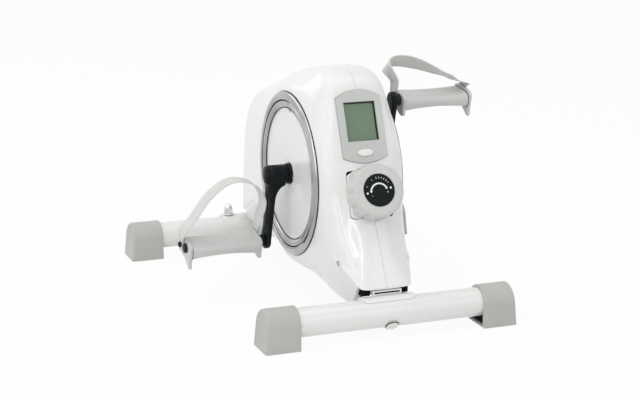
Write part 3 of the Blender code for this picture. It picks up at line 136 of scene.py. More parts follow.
soft_lamp("right_front_lamp", (1.1, -2.2, 1.3), (0, 0, 0.15), 1.6, 1.4, 6.5)
soft_lamp("strip_lamp", (-1.5, -1.75, 1.55), (-0.05, -0.2, 0.12), 0.2, 2, 9)
soft_lamp("top_lamp", (-0.2, -0.2, 2.6), (0, 0, 0.1), 2.8, 2.8, 23)
soft_lamp("left_lamp", (-2.4, -0.7, 0.9), (0, 0, 0.15), 1.2, 1.5, 7.5)
soft_lamp("back_lamp", (-1.4, 1.8, 1.5), (0, 0, 0.15), 1.4, 1.4, 8.5)


# Stabiliser tubes. Round steel tube with square-cut, lightly broken ends, powder coated in white.
# The coating has a shallow orange peel, and its gloss wanders a little along the tube.
def surface_drift():
    """Slow changes of colour and gloss over a surface, and a fine grain for its relief."""
    group = bpy.data.node_groups.new("surface_drift", "ShaderNodeTree")
    for label, kind in (("Colour", "NodeSocketColor"), ("Other Colour", "NodeSocketColor"),
                        ("Patch Scale", "NodeSocketFloat"), ("Smoothest", "NodeSocketFloat"),
                        ("Roughest", "NodeSocketFloat"), ("Grain Scale", "NodeSocketFloat")):
        group.interface.new_socket(label, in_out="INPUT", socket_type=kind)
    for label, kind in (("Colour", "NodeSocketColor"), ("Roughness", "NodeSocketFloat"),
                        ("Height", "NodeSocketFloat")):
        group.interface.new_socket(label, in_out="OUTPUT", socket_type=kind)
    given = group.nodes.new("NodeGroupInput")
    result = group.nodes.new("NodeGroupOutput")
    where = group.nodes.new("ShaderNodeTexCoord")
    patches = group.nodes.new("ShaderNodeTexNoise")
    patches.inputs["Detail"].default_value = 3
    grain = group.nodes.new("ShaderNodeTexNoise")
    grain.inputs["Detail"].default_value = 2
    spread = group.nodes.new("ShaderNodeMapRange")
    spread.inputs["From Min"].default_value = 0.3
    spread.inputs["From Max"].default_value = 0.7
    blend = group.nodes.new("ShaderNodeMix")
    blend.data_type = "RGBA"
    gloss = group.nodes.new("ShaderNodeMapRange")
    link = group.links.new
    link(where.outputs["Object"], patches.inputs["Vector"])
    link(where.outputs["Object"], grain.inputs["Vector"])
    link(given.outputs["Patch Scale"], patches.inputs["Scale"])
    link(given.outputs["Grain Scale"], grain.inputs["Scale"])
    link(patches.outputs["Fac"], spread.inputs["Value"])
    link(spread.outputs["Result"], blend.inputs["Factor"])
    link(given.outputs["Colour"], blend.inputs["A"])
    link(given.outputs["Other Colour"], blend.inputs["B"])
    link(spread.outputs["Result"], gloss.inputs["Value"])
    link(given.outputs["Smoothest"], gloss.inputs["To Min"])
    link(given.outputs["Roughest"], gloss.inputs["To Max"])
    link(blend.outputs["Result"], result.inputs["Colour"])
    link(gloss.outputs["Result"], result.inputs["Roughness"])
    link(grain.outputs["Fac"], result.inputs["Height"])
    return group


drift = surface_drift()


def drifting_finish(name, colour, other, gloss, patch_scale, grain_scale, grain_depth):
    """A finish whose colour and roughness wander between two values over a fine-grained relief."""
    finish = bpy.data.materials.new(name)
    finish.use_nodes = True
    tree = finish.node_tree
    shader = tree.nodes["Principled BSDF"]
    surface = tree.nodes.new("ShaderNodeGroup")
    surface.name = "surface"
    surface.node_tree = drift
    surface.inputs["Colour"].default_value = (*colour, 1)
    surface.inputs["Other Colour"].default_value = (*other, 1)
    surface.inputs["Patch Scale"].default_value = patch_scale
    surface.inputs["Smoothest"].default_value = gloss[0]
    surface.inputs["Roughest"].default_value = gloss[1]
    surface.inputs["Grain Scale"].default_value = grain_scale
    relief = tree.nodes.new("ShaderNodeBump")
    relief.inputs["Strength"].default_value = 0.5
    relief.inputs["Distance"].default_value = grain_depth
    tree.links.new(surface.outputs["Colour"], shader.inputs["Base Color"])
    tree.links.new(surface.outputs["Roughness"], shader.inputs["Roughness"])
    tree.links.new(surface.outputs["Height"], relief.inputs["Height"])
    tree.links.new(relief.outputs["Normal"], shader.inputs["Normal"])
    return finish


def shader_of(finish):
    return finish.node_tree.nodes["Principled BSDF"]


def from_front(x, behind, height):
    """A place given from the front tube's axis and the floor."""
    return Vector((x, behind - 229 * mm, height))


def skin(rings, around=False):
    """A closed mesh through rings of as many points each, with its ends capped or, around, joined up."""
    solid = bmesh.new()
    rows = [[solid.verts.new(point) for point in ring] for ring in rings]
    pairs = list(zip(rows, rows[1:]))
    if around:
        pairs.append((rows[-1], rows[0]))
    for low, high in pairs:
        for i in range(len(low)):
            j = (i + 1) % len(low)
            solid.faces.new((low[i], low[j], high[j], high[i]))
    if not around:
        solid.faces.new(rows[0])
        solid.faces.new(rows[-1])
    return solid


def turned(profile, centre, direction, steps):
    """A mesh turned about an axis from (radius, distance) pairs: a plug if it starts and ends on the axis,
    and a ring if it stays off it."""
    along = Vector(direction).normalized()
    side = Vector((1, 0, 0)) if abs(along.x) < 0.9 else Vector((0, 1, 0))
    first = (side - along * side.dot(along)).normalized()
    second = along.cross(first)
    solid = bmesh.new()
    rows = []
    for radius, distance in profile:
        middle = Vector(centre) + along * distance
        if radius < 1e-7:
            rows.append([solid.verts.new(middle)])
            continue
        turns = [math.tau * i / steps for i in range(steps)]
        rows.append([solid.verts.new(middle + (first * math.cos(a) + second * math.sin(a)) * radius)
                     for a in turns])
    pairs = list(zip(rows, rows[1:]))
    if len(rows[0]) > 1 and len(rows[-1]) > 1:
        pairs.append((rows[-1], rows[0]))
    for low, high in pairs:
        for i in range(steps):
            j = (i + 1) % steps
            if len(low) == 1:
                solid.faces.new((low[0], high[i], high[j]))
            elif len(high) == 1:
                solid.faces.new((low[i], low[j], high[0]))
            else:
                solid.faces.new((low[i], low[j], high[j], high[i]))
    return solid


def fitted(name, solid, finish, body, slot, *stands_for, crisp=0.6):
    """Make the piece from its mesh, smooth but for its sharp edges, on its body and for its node."""
    bmesh.ops.recalc_face_normals(solid, faces=solid.faces)
    mesh = bpy.data.meshes.new(name)
    solid.to_mesh(mesh)
    solid.free()
    mesh.shade_smooth()
    mesh.set_sharp_from_angle(angle=crisp)
    mesh.materials.append(finish)
    piece = bpy.data.objects.new(name, mesh)
    bpy.context.scene.collection.objects.link(piece)
    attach(piece, body)
    if stands_for:
        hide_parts(*stands_for)
    return piece


tube_radius = 19.05 * mm
tube_height = 30.5 * mm
tube_bore = tube_radius - 1.5 * mm
white_coating = drifting_finish("white_powder_coat", (0.82, 0.82, 0.81), (0.79, 0.79, 0.78), (0.2, 0.3),
                                11, 420, 0.05 * mm)
shader_of(white_coating).inputs["Coat Weight"].default_value = 0.25
for which, behind, half in (("front", 0, 166.7 * mm), ("rear", 458 * mm, 213.7 * mm)):
    profile = [(tube_bore, -half), (tube_radius - 0.4 * mm, -half), (tube_radius, 0.4 * mm - half),
               (tube_radius, half - 0.4 * mm), (tube_radius - 0.4 * mm, half), (tube_bore, half)]
    fitted(which + "_tube", turned(profile, from_front(0, behind, tube_height), (1, 0, 0), 96), white_coating,
           "base", "white_steel", which + "_stabiliser_tube")


# Foot caps. Soft grey vinyl, moulded hollow and pushed over the tube ends: a round arch on straight
# sides, a thin ribbed sole, and an end face that leans back and is sunk inside a thin rim.
def smooth_step(t):
    t = min(1, max(0, t))
    return t * t * (3 - 2 * t)


def carved(piece, solid, operation="DIFFERENCE", crisp=0.6):
    """Cut a mesh out of a piece, or join it on, for good."""
    bmesh.ops.recalc_face_normals(solid, faces=solid.faces)
    tool_mesh = bpy.data.meshes.new("tool")
    solid.to_mesh(tool_mesh)
    solid.free()
    tool = bpy.data.objects.new("tool", tool_mesh)
    bpy.context.scene.collection.objects.link(tool)
    step = piece.modifiers.new("carving", "BOOLEAN")
    step.operation = operation
    step.object = tool
    step.solver = "EXACT"
    bpy.context.view_layer.update()
    result = bpy.data.meshes.new_from_object(piece.evaluated_get(bpy.context.evaluated_depsgraph_get()))
    piece.modifiers.remove(step)
    piece.data = result
    bpy.data.objects.remove(tool)
    result.shade_smooth()
    result.set_sharp_from_angle(angle=crisp)


def together(*solids):
    """Several separate meshes as one."""
    whole = bmesh.new()
    for solid in solids:
        part = bpy.data.meshes.new("part")
        solid.to_mesh(part)
        solid.free()
        whole.from_mesh(part)
        bpy.data.meshes.remove(part)
    return whole


def block(low, high):
    return skin([[(low[0], low[1], z), (high[0], low[1], z), (high[0], high[1], z), (low[0], high[1], z)]
                 for z in (low[2], high[2])])


vinyl = drifting_finish("grey_vinyl", (0.5, 0.5, 0.475), (0.465, 0.465, 0.44), (0.46, 0.6),
                        16, 1100, 0.12 * mm)
cap_length = 48 * mm
cap_radius = tube_radius + 3.45 * mm
cap_foot_half = 23.25 * mm
cap_top = 46.5 * mm
cap_edge_angle = 0.75
tube_clearance = 0.3 * mm


def cap_outline(inset):
    """The arch and its straight sides, seen along the tube."""
    arch = cap_radius - inset
    foot = cap_foot_half - inset
    low = inset * 0.5
    rise = [k / 8 for k in range(8)]
    right_side = [(foot + (arch - foot) * t, low + (tube_height - low) * t) for t in rise]
    turns = [math.pi * i / 44 for i in range(45)]
    curve = [(arch * math.cos(a), tube_height + arch * math.sin(a)) for a in turns]
    return right_side + curve + [(-y, z) for y, z in right_side[::-1]]


def tube_room(start, length, side, behind):
    """The space that the tube needs in a cap or in a black block of painted shade."""
    radius = tube_radius + tube_clearance
    return turned([(0, 0), (radius, 0), (radius, length), (0, length)],
                  from_front(side * start, behind, tube_height), (side, 0, 0), 64)


def foot_cap(which, hand, side, behind, span):
    mouth = span / 2 - cap_length
    lean_back = 4 * mm
    rings = []
    for distance, inset, lean in ((0, 0.7, 0), (0.25, 0.2, 0), (0.7, 0, 0), (6, 0, 0.1), (14, 0, 0.3),
                                  (24, 0, 0.55), (34, 0, 0.8), (42, 0, 1), (45.8, 0, 1), (46.6, 0.2, 1),
                                  (47.3, 0.65, 1), (47.8, 1.4, 1), (48, 2.3, 1), (48, 3.6, 1),
                                  (47.85, 4.1, 1), (47.4, 4.5, 1), (47.2, 5.4, 1)):
        out = mouth + distance * mm
        rings.append([from_front(side * (out - lean_back * lean * z / cap_top), behind + y, z)
                      for y, z in cap_outline(inset * mm)])
    cap = fitted("{}_{}_cap".format(which, hand), skin(rings), vinyl, "base", "grey_cap",
                 "{}_{}_foot_cap".format(which, hand), crisp=cap_edge_angle)
    carved(cap, tube_room(mouth - 5 * mm, 45 * mm, side, behind), crisp=cap_edge_angle)
    near, far = sorted((side * (mouth - 5 * mm), side * (mouth + 14 * mm)))
    carved(cap, block(from_front(near, behind - 18.5 * mm, 3.15 * mm),
                      from_front(far, behind + 18.5 * mm, tube_height)), crisp=cap_edge_angle)
    near, far = sorted((side * (mouth - 5 * mm), side * (mouth + 53 * mm)))
    ribs = [block(from_front(near, behind + y * mm - 1.7 * mm, -5 * mm),
                  from_front(far, behind + y * mm + 1.7 * mm, 1.6 * mm))
            for y in (-15.75, -5.25, 5.25, 15.75)]
    carved(cap, together(*ribs), crisp=cap_edge_angle)


tube_ends = (("front", 0, 350 * mm), ("rear", 458 * mm, 444 * mm))
for which, behind, span in tube_ends:
    foot_cap(which, "left", -1, behind, span)
    foot_cap(which, "right", 1, behind, span)


# Cap shade blocks. A black block fills the hollow under the tube in each cap's mouth: painted shade
# where the open hollow lies in shadow. It is cut to the tube's round.
# Flat black for blocks that fill hollows and gaps which lie in shadow: painted shade.
shade_fill_black = drifting_finish("shade_fill_black", (0.007, 0.008, 0.008), (0.012, 0.013, 0.013), (0.75, 0.9),
                             60, 900, 0.4 * mm)
shader_of(shade_fill_black).inputs["Specular IOR Level"].default_value = 0.05


def cap_pad(which, hand, side, behind, span):
    mouth = span / 2 - cap_length
    near, far = sorted((side * (mouth + 4 * mm), side * (mouth + 13.7 * mm)))
    shade_fill_solid = block(from_front(near, behind - 18.2 * mm, 3.4 * mm),
                    from_front(far, behind + 18.2 * mm, tube_height - 2 * mm))
    shade_fill_block = fitted("{}_{}_cap_pad".format(which, hand), shade_fill_solid, shade_fill_black, "base", "black_plastic")
    carved(shade_fill_block, tube_room(mouth - 20 * mm, 60 * mm, side, behind))


for which, behind, span in tube_ends:
    cap_pad(which, "left", -1, behind, span)
    cap_pad(which, "right", 1, behind, span)


# Saddles. Bent steel plates that lie over the tubes and carry the frame, with rounded corners, in
# the same white coating as the tubes. The front one is ground thin towards its two long edges.
saddle_thickness = 3 * mm


def saddle(which, behind, front_edge, rear_edge, width, thinned):
    """The edges are given as angles from the top of the tube, forward being positive."""
    inner = tube_radius + tube_clearance
    outer = inner + saddle_thickness
    corner = 7 * mm
    steps = 56
    rings = []
    for i in range(steps + 1):
        t = i / steps
        angle = math.radians(front_edge + (rear_edge - front_edge) * t)
        half = width / 2
        from_edge = min(t, 1 - t) * abs(math.radians(rear_edge - front_edge)) * outer
        if from_edge < corner:
            half -= corner - math.sqrt(corner ** 2 - (corner - from_edge) ** 2)
        if thinned:
            outer = inner + saddle_thickness * min(1, (from_edge + 0.4 * mm) / (9 * mm)) ** 0.6
        flat_half = half - 0.4 * mm
        side_edge = inner + (outer - inner) * 0.83
        section = ((-half, inner), (half, inner), (half, side_edge), (flat_half, outer), (-flat_half, outer),
                   (-half, side_edge))
        rings.append([from_front(x, behind - radius * math.sin(angle), tube_height + radius * math.cos(angle))
                      for x, radius in section])
    fitted(which + "_saddle_plate", skin(rings), white_coating, "base", "white_steel", which + "_saddle",
           crisp=0.5)


saddle("front", 0, 28, -100, 73 * mm, True)
saddle("rear", 458 * mm, 95, -60, 150 * mm, False)


# Stabiliser bolts. Zinc plated carriage bolts come up through each tube and saddle, domed head
# below, and take a flanged acorn nut on a pressed washer above.
zinc = drifting_finish("zinc_plate", (0.74, 0.74, 0.72), (0.62, 0.62, 0.61), (0.16, 0.32),
                       160, 1500, 0.05 * mm)
shader_of(zinc).inputs["Metallic"].default_value = 1
# Flat black for the ring under each bolt head: painted shade.
shade_ring_black = drifting_finish("shade_ring_black", (0.015, 0.016, 0.016), (0.025, 0.026, 0.026), (0.5, 0.7),
                               60, 1500, 0.1 * mm)


def in_mm(*pairs):
    """A turned profile written in mm, in metres."""
    return [(radius * mm, distance * mm) for radius, distance in pairs]


def acorn_nut(node, centre, direction, base):
    """A round flange, a hexagon with its top corners cut off, and a dome, over a blind bore."""
    along = direction.normalized()
    side = Vector((1, 0, 0))
    other = along.cross(side)
    steps = 96
    flat = math.cos(math.pi / 6)

    def ring(radius, distance, hexagon=0.0, cut_at=1.0):
        row = []
        for i in range(steps):
            angle = math.tau * i / steps
            hex_scale = flat / math.cos((angle % (math.pi / 3)) - math.pi / 6)
            scale = min(1 + (hex_scale - 1) * hexagon, cut_at)
            outward = side * math.cos(angle) + other * math.sin(angle)
            row.append(centre + along * (base + distance * mm) + outward * radius * mm * scale)
        return row

    washer = 1.6
    top = washer + 8
    dome = 5.55
    rings = [ring(4.3, top - 0.8), ring(4.3, 0), ring(7.9, 0), ring(8.3, 0.3), ring(8.3, washer - 0.5),
             ring(7.9, washer - 0.1), ring(7.2, washer), ring(6.1, washer, 1), ring(6.6, washer + 0.5, 1),
             ring(6.6, top - 0.9, 1), ring(6.6, top - 0.4, 1, 0.955), ring(6.6, top, 1, 0.89),
             ring(dome + 0.05, top + 0.1), ring(dome, top + 0.6)]
    for i in range(1, 12):
        angle = math.pi / 2 * i / 12
        rings.append(ring(dome * math.cos(angle), top + 0.6 + 5.9 * math.sin(angle)))
    fitted(node.replace("bolt_nut", "acorn_nut"), skin(rings), zinc, "base", "zinc_steel", node, crisp=0.5)


def stabiliser_bolt(node, x, behind, direction):
    """The bolt's sizes are given from the underside of its head, which bears on the tube from below."""
    centre = from_front(x, behind, tube_height)
    under = centre - direction * (tube_radius + tube_clearance)
    shaft_end = 50.6
    quarter = [math.pi / 2 * i / 12 for i in range(11, -1, -1)]
    head = [(8.4 * math.cos(a), -0.7 - 3.5 * math.sin(a)) for a in quarter]
    profile = in_mm((0, -4.2), *head, (8.4, -0.3), (8.1, 0), (4, 0), (4, shaft_end), (0, shaft_end))
    fitted(node.replace("bolt", "carriage_bolt"), turned(profile, under, direction, 48), zinc, "base",
           "zinc_steel", node, crisp=0.5)
    # A black ring round the underside of the head stands in for the dark gap between head and tube: painted
    # shade.
    ring = in_mm((4.2, -0.1), (9.1, -0.1), (9.2, -0.6), (8.9, -1.1), (8.5, -1.1), (8.45, -0.3), (4.2, -0.25))
    fitted(node.replace("bolt", "head_shade_ring"), turned(ring, under, direction, 48), shade_ring_black, "base",
           "black_plastic", crisp=0.5)
    acorn_nut(node + "_nut", centre, direction, tube_radius + tube_clearance + saddle_thickness + 0.3 * mm)


stabiliser_bolt("front_bolt", 0, 0, Vector((0, 1, 1)).normalized())
stabiliser_bolt("rear_left_bolt", -65 * mm, 458 * mm, Vector((0, 0, 1)))
stabiliser_bolt("rear_right_bolt", 65 * mm, 458 * mm, Vector((0, 0, 1)))


# Main frame and drive. Inside the housing a white coated plate frame carries the crank bearing, the
# pulley and belt, the cast flywheel with its bearings, and the magnet bracket that the cable pulls.
def refinish(finish, *names):
    for name in names:
        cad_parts[name].material_slots[0].material = finish


bearing_steel = drifting_finish("bearing_steel", (0.6, 0.6, 0.6), (0.5, 0.5, 0.5), (0.18, 0.4),
                                60, 1800, 0.04 * mm)
shader_of(bearing_steel).inputs["Metallic"].default_value = 1
cast_iron = drifting_finish("cast_iron", (0.2, 0.2, 0.21), (0.13, 0.13, 0.135), (0.45, 0.7),
                            70, 1300, 0.3 * mm)
shader_of(cast_iron).inputs["Metallic"].default_value = 0.8
pressed_zinc = drifting_finish("pressed_zinc", (0.66, 0.66, 0.62), (0.55, 0.56, 0.53), (0.28, 0.45),
                               90, 1500, 0.05 * mm)
shader_of(pressed_zinc).inputs["Metallic"].default_value = 1
black_nylon = drifting_finish("black_nylon", (0.009, 0.011, 0.012), (0.014, 0.016, 0.017), (0.3, 0.45),
                              60, 1700, 0.1 * mm)
shader_of(black_nylon).inputs["Specular IOR Level"].default_value = 0.2
belt_rubber = drifting_finish("belt_rubber", (0.02, 0.02, 0.02), (0.035, 0.035, 0.035), (0.7, 0.9),
                              50, 1600, 0.3 * mm)
cable_sleeve = drifting_finish("cable_sleeve", (0.018, 0.018, 0.02), (0.03, 0.03, 0.032), (0.4, 0.55),
                               90, 1500, 0.1 * mm)
ferrite = drifting_finish("ferrite", (0.05, 0.05, 0.055), (0.08, 0.08, 0.085), (0.5, 0.7),
                          120, 2000, 0.2 * mm)
refinish(white_coating, "main_frame")
refinish(bearing_steel, "crank_bearing", "crank_axle", "flywheel_axle", "left_flywheel_bearing",
         "right_flywheel_bearing", "tension_spindle", "bracket_pin")
refinish(pressed_zinc, "magnet_bracket")
refinish(cast_iron, "flywheel")
refinish(black_nylon, "drive_pulley")
refinish(belt_rubber, "drive_belt")
refinish(cable_sleeve, "tension_cable")
refinish(ferrite, "brake_magnet")


# Housing. Two glossy white ABS mouldings meet in the middle plane with a hairline seam. The front
# leans back, the crown is round, and each side falls away all round from the seat of its disc.
def hairline_scuffs():
    """Fine straight handling marks that only show as a change of gloss."""
    group = bpy.data.node_groups.new("hairline_scuffs", "ShaderNodeTree")
    for label in ("Roughness", "Scale", "Amount"):
        group.interface.new_socket(label, in_out="INPUT", socket_type="NodeSocketFloat")
    group.interface.new_socket("Roughness", in_out="OUTPUT", socket_type="NodeSocketFloat")
    given = group.nodes.new("NodeGroupInput")
    result = group.nodes.new("NodeGroupOutput")
    where = group.nodes.new("ShaderNodeTexCoord")
    turn = group.nodes.new("ShaderNodeMapping")
    turn.inputs["Rotation"].default_value = (0.5, 0.9, 0.3)
    turn.inputs["Scale"].default_value = (1, 14, 1)
    lines = group.nodes.new("ShaderNodeTexNoise")
    lines.inputs["Detail"].default_value = 4
    thin = group.nodes.new("ShaderNodeMapRange")
    thin.inputs["From Min"].default_value = 0.62
    thin.inputs["From Max"].default_value = 0.7
    sized = group.nodes.new("ShaderNodeMath")
    sized.operation = "MULTIPLY"
    added = group.nodes.new("ShaderNodeMath")
    added.operation = "ADD"
    link = group.links.new
    link(where.outputs["Object"], turn.inputs["Vector"])
    link(turn.outputs["Vector"], lines.inputs["Vector"])
    link(given.outputs["Scale"], lines.inputs["Scale"])
    link(lines.outputs["Fac"], thin.inputs["Value"])
    link(thin.outputs["Result"], sized.inputs[0])
    link(given.outputs["Amount"], sized.inputs[1])
    link(sized.outputs[0], added.inputs[0])
    link(given.outputs["Roughness"], added.inputs[1])
    link(added.outputs[0], result.inputs["Roughness"])
    return group


scuffs = hairline_scuffs()


def handled(finish, scale, amount):
    """Lay the handling marks over a finish's own roughness."""
    tree = finish.node_tree
    marks = tree.nodes.new("ShaderNodeGroup")
    marks.node_tree = scuffs
    marks.inputs["Scale"].default_value = scale
    marks.inputs["Amount"].default_value = amount
    tree.links.new(tree.nodes["surface"].outputs["Roughness"], marks.inputs["Roughness"])
    tree.links.new(marks.outputs["Roughness"], shader_of(finish).inputs["Roughness"])
    return finish


gloss_white = handled(drifting_finish("gloss_white_abs", (0.82, 0.82, 0.815), (0.8, 0.8, 0.795), (0.3, 0.4),
                                      7, 90, 0.04 * mm), 40, 0.08)
shader_of(gloss_white).inputs["Coat Weight"].default_value = 0.55
shader_of(gloss_white).inputs["Coat Roughness"].default_value = 0.1

crank_behind = 208 * mm
crank_height = 172 * mm
disc_plane = 58.5 * mm
seat_radius = 113.5 * mm
opening_radius = 98.6 * mm
seam_half = 0.15 * mm
shell_wall = 2.5 * mm

# From the front foot, over the top, to the rear foot and back below, in mm: the distance behind the
# front tube, the height, and how far the side edge is rounded in.
housing_profile = (
    (3, 60.5, 6), (9, 73, 10), (27, 106, 12), (44, 136, 12), (59, 172, 12), (77, 212, 11), (97, 261, 11),
    (113, 300, 13), (129, 317, 15), (155, 325, 16), (184, 323, 16), (222, 314, 15), (275, 296, 13),
    (330, 277, 12), (375, 262, 12), (408, 247, 12), (434, 221, 11), (448, 185, 9), (453, 140, 7),
    (456, 95, 5), (456, 69, 3), (452, 60.5, 2), (441, 60.5, 2), (434, 52, 2), (405, 50, 3), (320, 50, 3),
    (250, 50, 3), (203, 48, 3), (160, 44, 3), (110, 40, 3), (62, 35, 2), (37, 34, 2), (26, 43, 2),
    (16, 60.5, 2))


def curve_between(four, t):
    a, b, c, d = four
    return (b * 2 + (c - a) * t + (a * 2 - b * 5 + c * 4 - d) * t ** 2 + (b * 3 - a - c * 3 + d) * t ** 3) / 2


def fine_profile(spacing=3.5 * mm):
    count = len(housing_profile)
    points = []
    for i in range(count):
        four = [Vector(housing_profile[(i + k) % count]) * mm for k in (-1, 0, 1, 2)]
        steps = max(1, round((four[2] - four[1]).length / spacing))
        points += [curve_between(four, k / steps) for k in range(steps)]
    return points


def leg_half_width(behind):
    """Half the width away from the discs: the housing narrows towards its front foot."""
    return disc_plane - 15 * mm - 7.5 * mm * (1 - smooth_step((behind - 15 * mm) / (75 * mm)))


def side_at(behind, past_seat, run):
    """Half the width of the side wall at a place past the seat of the disc, where it runs on so far."""
    fall = (disc_plane - leg_half_width(behind)) * smooth_step(run / (27 * mm))
    return disc_plane - fall * min(1, max(0, past_seat / run)) ** 1.5


def half_housing(side):
    """Its skin runs from the seam over a rounded edge and down the side to the disc's opening, and back
    inside at the wall's thickness."""
    points = fine_profile()
    edge_steps = 20
    shares = [(1 - i / 18) ** 1.1 for i in range(1, 19)]
    outer = [[] for _ in range(1 + edge_steps + 1 + len(shares) + 1)]
    inner = [[] for _ in range(8)]
    for i, point in enumerate(points):
        toward = Vector((crank_behind - point.x, crank_height - point.y))
        reach = toward.length
        toward.normalize()
        ahead_of = points[(i + 1) % len(points)] - points[i - 1]
        inward = Vector((ahead_of.y, -ahead_of.x)).normalized()
        scale = 1 / max(0.45, abs(inward.dot(toward)))
        rounding = point.z * scale
        run = reach - rounding - seat_radius
        width = side_at(point.x, run, run)

        def spot(radius, x):
            return from_front(side * x, crank_behind - toward.x * radius, crank_height - toward.y * radius)

        def on_side(share, depth=0):
            radius = seat_radius + run * share
            return spot(radius, side_at(crank_behind - toward.x * radius, run * share, run) - depth)

        near_edge = run * 0.97
        short_of_edge = side_at(crank_behind - toward.x * (seat_radius + near_edge), near_edge, run)
        slope = (width - short_of_edge) / (run * 0.03)
        lead = Vector((reach - rounding * 0.42, max(width * 0.6, width + slope * rounding * 0.58)))
        top = Vector((reach, min(width * 0.9, lead.y)))

        def over_edge(t):
            start = Vector((reach, seam_half + 0.15 * mm))
            end = Vector((reach - rounding, width))
            ends = start * (1 - t) ** 3 + end * t ** 3
            return ends + top * 3 * t * (1 - t) ** 2 + lead * 3 * t ** 2 * (1 - t)

        def under_edge(t):
            run_on = (over_edge(t + 0.01) - over_edge(t - 0.01)).normalized()
            place = over_edge(t)
            return spot(place.x - run_on.y * shell_wall * scale, place.y + run_on.x * shell_wall)

        rows = [spot(reach - 0.2 * mm * scale, seam_half)]
        for k in range(edge_steps + 1):
            place = over_edge(k / edge_steps)
            rows.append(spot(place.x, place.y))
        rows += [on_side(share) for share in shares]
        rows.append(spot(opening_radius, disc_plane))
        for ring, place in zip(outer, rows):
            ring.append(place)
        back = [spot(opening_radius, disc_plane - shell_wall)]
        back += [on_side(share, shell_wall) for share in (0, 0.5, 0.97)]
        back += [under_edge(t) for t in (0.8, 0.6, 0.35)]
        back.append(spot(reach - shell_wall * scale, seam_half))
        for ring, place in zip(inner, back):
            ring.append(place)
    return skin(outer + inner, around=True)


class Face:
    """A plane on the housing's leaning front: across is +X, up runs up the slope, out stands off it."""

    def __init__(self, behind, height):
        lean = 0.38
        self.origin = from_front(0, behind, height)
        self.up = Vector((0, math.sin(lean), math.cos(lean)))
        self.out = Vector((0, -math.cos(lean), math.sin(lean)))

    def at(self, across, up, out):
        return self.origin + Vector((across, 0, 0)) + self.up * up + self.out * out

    def slab(self, outline, low, high, up=0):
        return skin([[self.at(u, v + up, w) for u, v in outline] for w in (low, high)])


console_face = Face(98 * mm, 261 * mm)
control_face = Face(61 * mm, 173 * mm)


def bezel_outline(grow, steps=40):
    """Straight sides, an arched top and a bowed bottom."""
    half = 31 * mm
    points = []
    for corner, apex, sign in ((33 * mm, 43 * mm, 1), (-47 * mm, -55 * mm, -1)):
        for i in range(steps + 1):
            u = sign * (half - 2 * half * i / steps)
            points.append((u, corner + (apex - corner) * (1 - (u / half) ** 2)))
    grown = []
    for i, (u, v) in enumerate(points):
        run = (Vector(points[(i + 1) % len(points)]) - Vector(points[i - 1])).normalized()
        grown.append((u + run.y * grow, v - run.x * grow))
    return grown


def round_cornered(width, height, radius, steps=6):
    points = []
    for quarter, (sx, sy) in enumerate(((1, 1), (-1, 1), (-1, -1), (1, -1))):
        for i in range(steps + 1):
            angle = math.pi / 2 * (quarter + i / steps)
            points.append((sx * (width / 2 - radius) + radius * math.cos(angle),
                           sy * (height / 2 - radius) + radius * math.sin(angle)))
    return points


def rod(radius, start, end, steps=32):
    way = Vector(end) - Vector(start)
    return turned([(0, 0), (radius, 0), (radius, way.length), (0, way.length)], start, way, steps)


# Each screw's post in the shells: the distance behind the front tube, the height, how far it reaches
# out, and where its well ends. The front well is open, and the rear one stops under the skin.
screw_posts = ((50 * mm, 86 * mm, 48.74 * mm, 60.74 * mm), (422 * mm, 88 * mm, 47.19 * mm, 44.19 * mm))
shell_edge_angle = 0.7
for hand, side in (("left", -1), ("right", 1)):
    shell = fitted(hand + "_housing", half_housing(side), gloss_white, "base", "white_shell",
                   hand + "_housing_shell", crisp=shell_edge_angle)
    posts = [rod(6.5 * mm, from_front(side * seam_half, y, z), from_front(side * reach, y, z))
             for y, z, reach, well in screw_posts]
    carved(shell, together(*posts), "UNION", crisp=shell_edge_angle)
    near, far = sorted((side * 26 * mm, -side * 5 * mm))
    cuts = [console_face.slab(bezel_outline(0.35 * mm), -9 * mm, 12 * mm),
            control_face.slab(round_cornered(60.2 * mm, 63.2 * mm, 5 * mm), -9 * mm, 12 * mm),
            block(from_front(near, 8 * mm, 20 * mm), from_front(far, 450 * mm, 63.15 * mm))]
    carved(shell, together(*cuts), crisp=shell_edge_angle)
    for y, z, reach, well in screw_posts:
        if side < 0:
            carved(shell, rod(2.1 * mm, from_front(1 * mm, y, z), from_front(8 * mm - reach, y, z)),
                   crisp=shell_edge_angle)
            carved(shell, rod(4.2 * mm, from_front(9 * mm - reach, y, z), from_front(-well, y, z)),
                   crisp=shell_edge_angle)
        else:
            carved(shell, rod(2.1 * mm, from_front(-1 * mm, y, z), from_front(14 * mm, y, z)),
                   crisp=shell_edge_angle)


# Foot shade. Black blocks fill the opening round the foot of the frame, and a black strip lines the
# slot in the end of the frame's tongue: painted shade where the opening and the slot lie in shadow.
shade_fill_top = 62.8 * mm
shade_fill = together(*[block(from_front(low, near, bottom), from_front(high, far, shade_fill_top))
                  for low, high, near, far, bottom in ((-32.4 * mm, -20.4 * mm, 11 * mm, 32 * mm, 51.2 * mm),
                                                       (20.4 * mm, 32.4 * mm, 11 * mm, 32 * mm, 51.2 * mm),
                                                       (-15.6 * mm, 15.6 * mm, 12 * mm, 20 * mm, 59.5 * mm))])
fitted("foot_foam", shade_fill, shade_fill_black, "base", "black_plastic", crisp=0.5)
slot_shade = block(from_front(-17.6 * mm, 3.3 * mm, 55.2 * mm), from_front(17.6 * mm, 7.8 * mm, 57.1 * mm))
fitted("tongue_slot_strip", slot_shade, shade_fill_black, "base", "black_plastic", crisp=0.5)


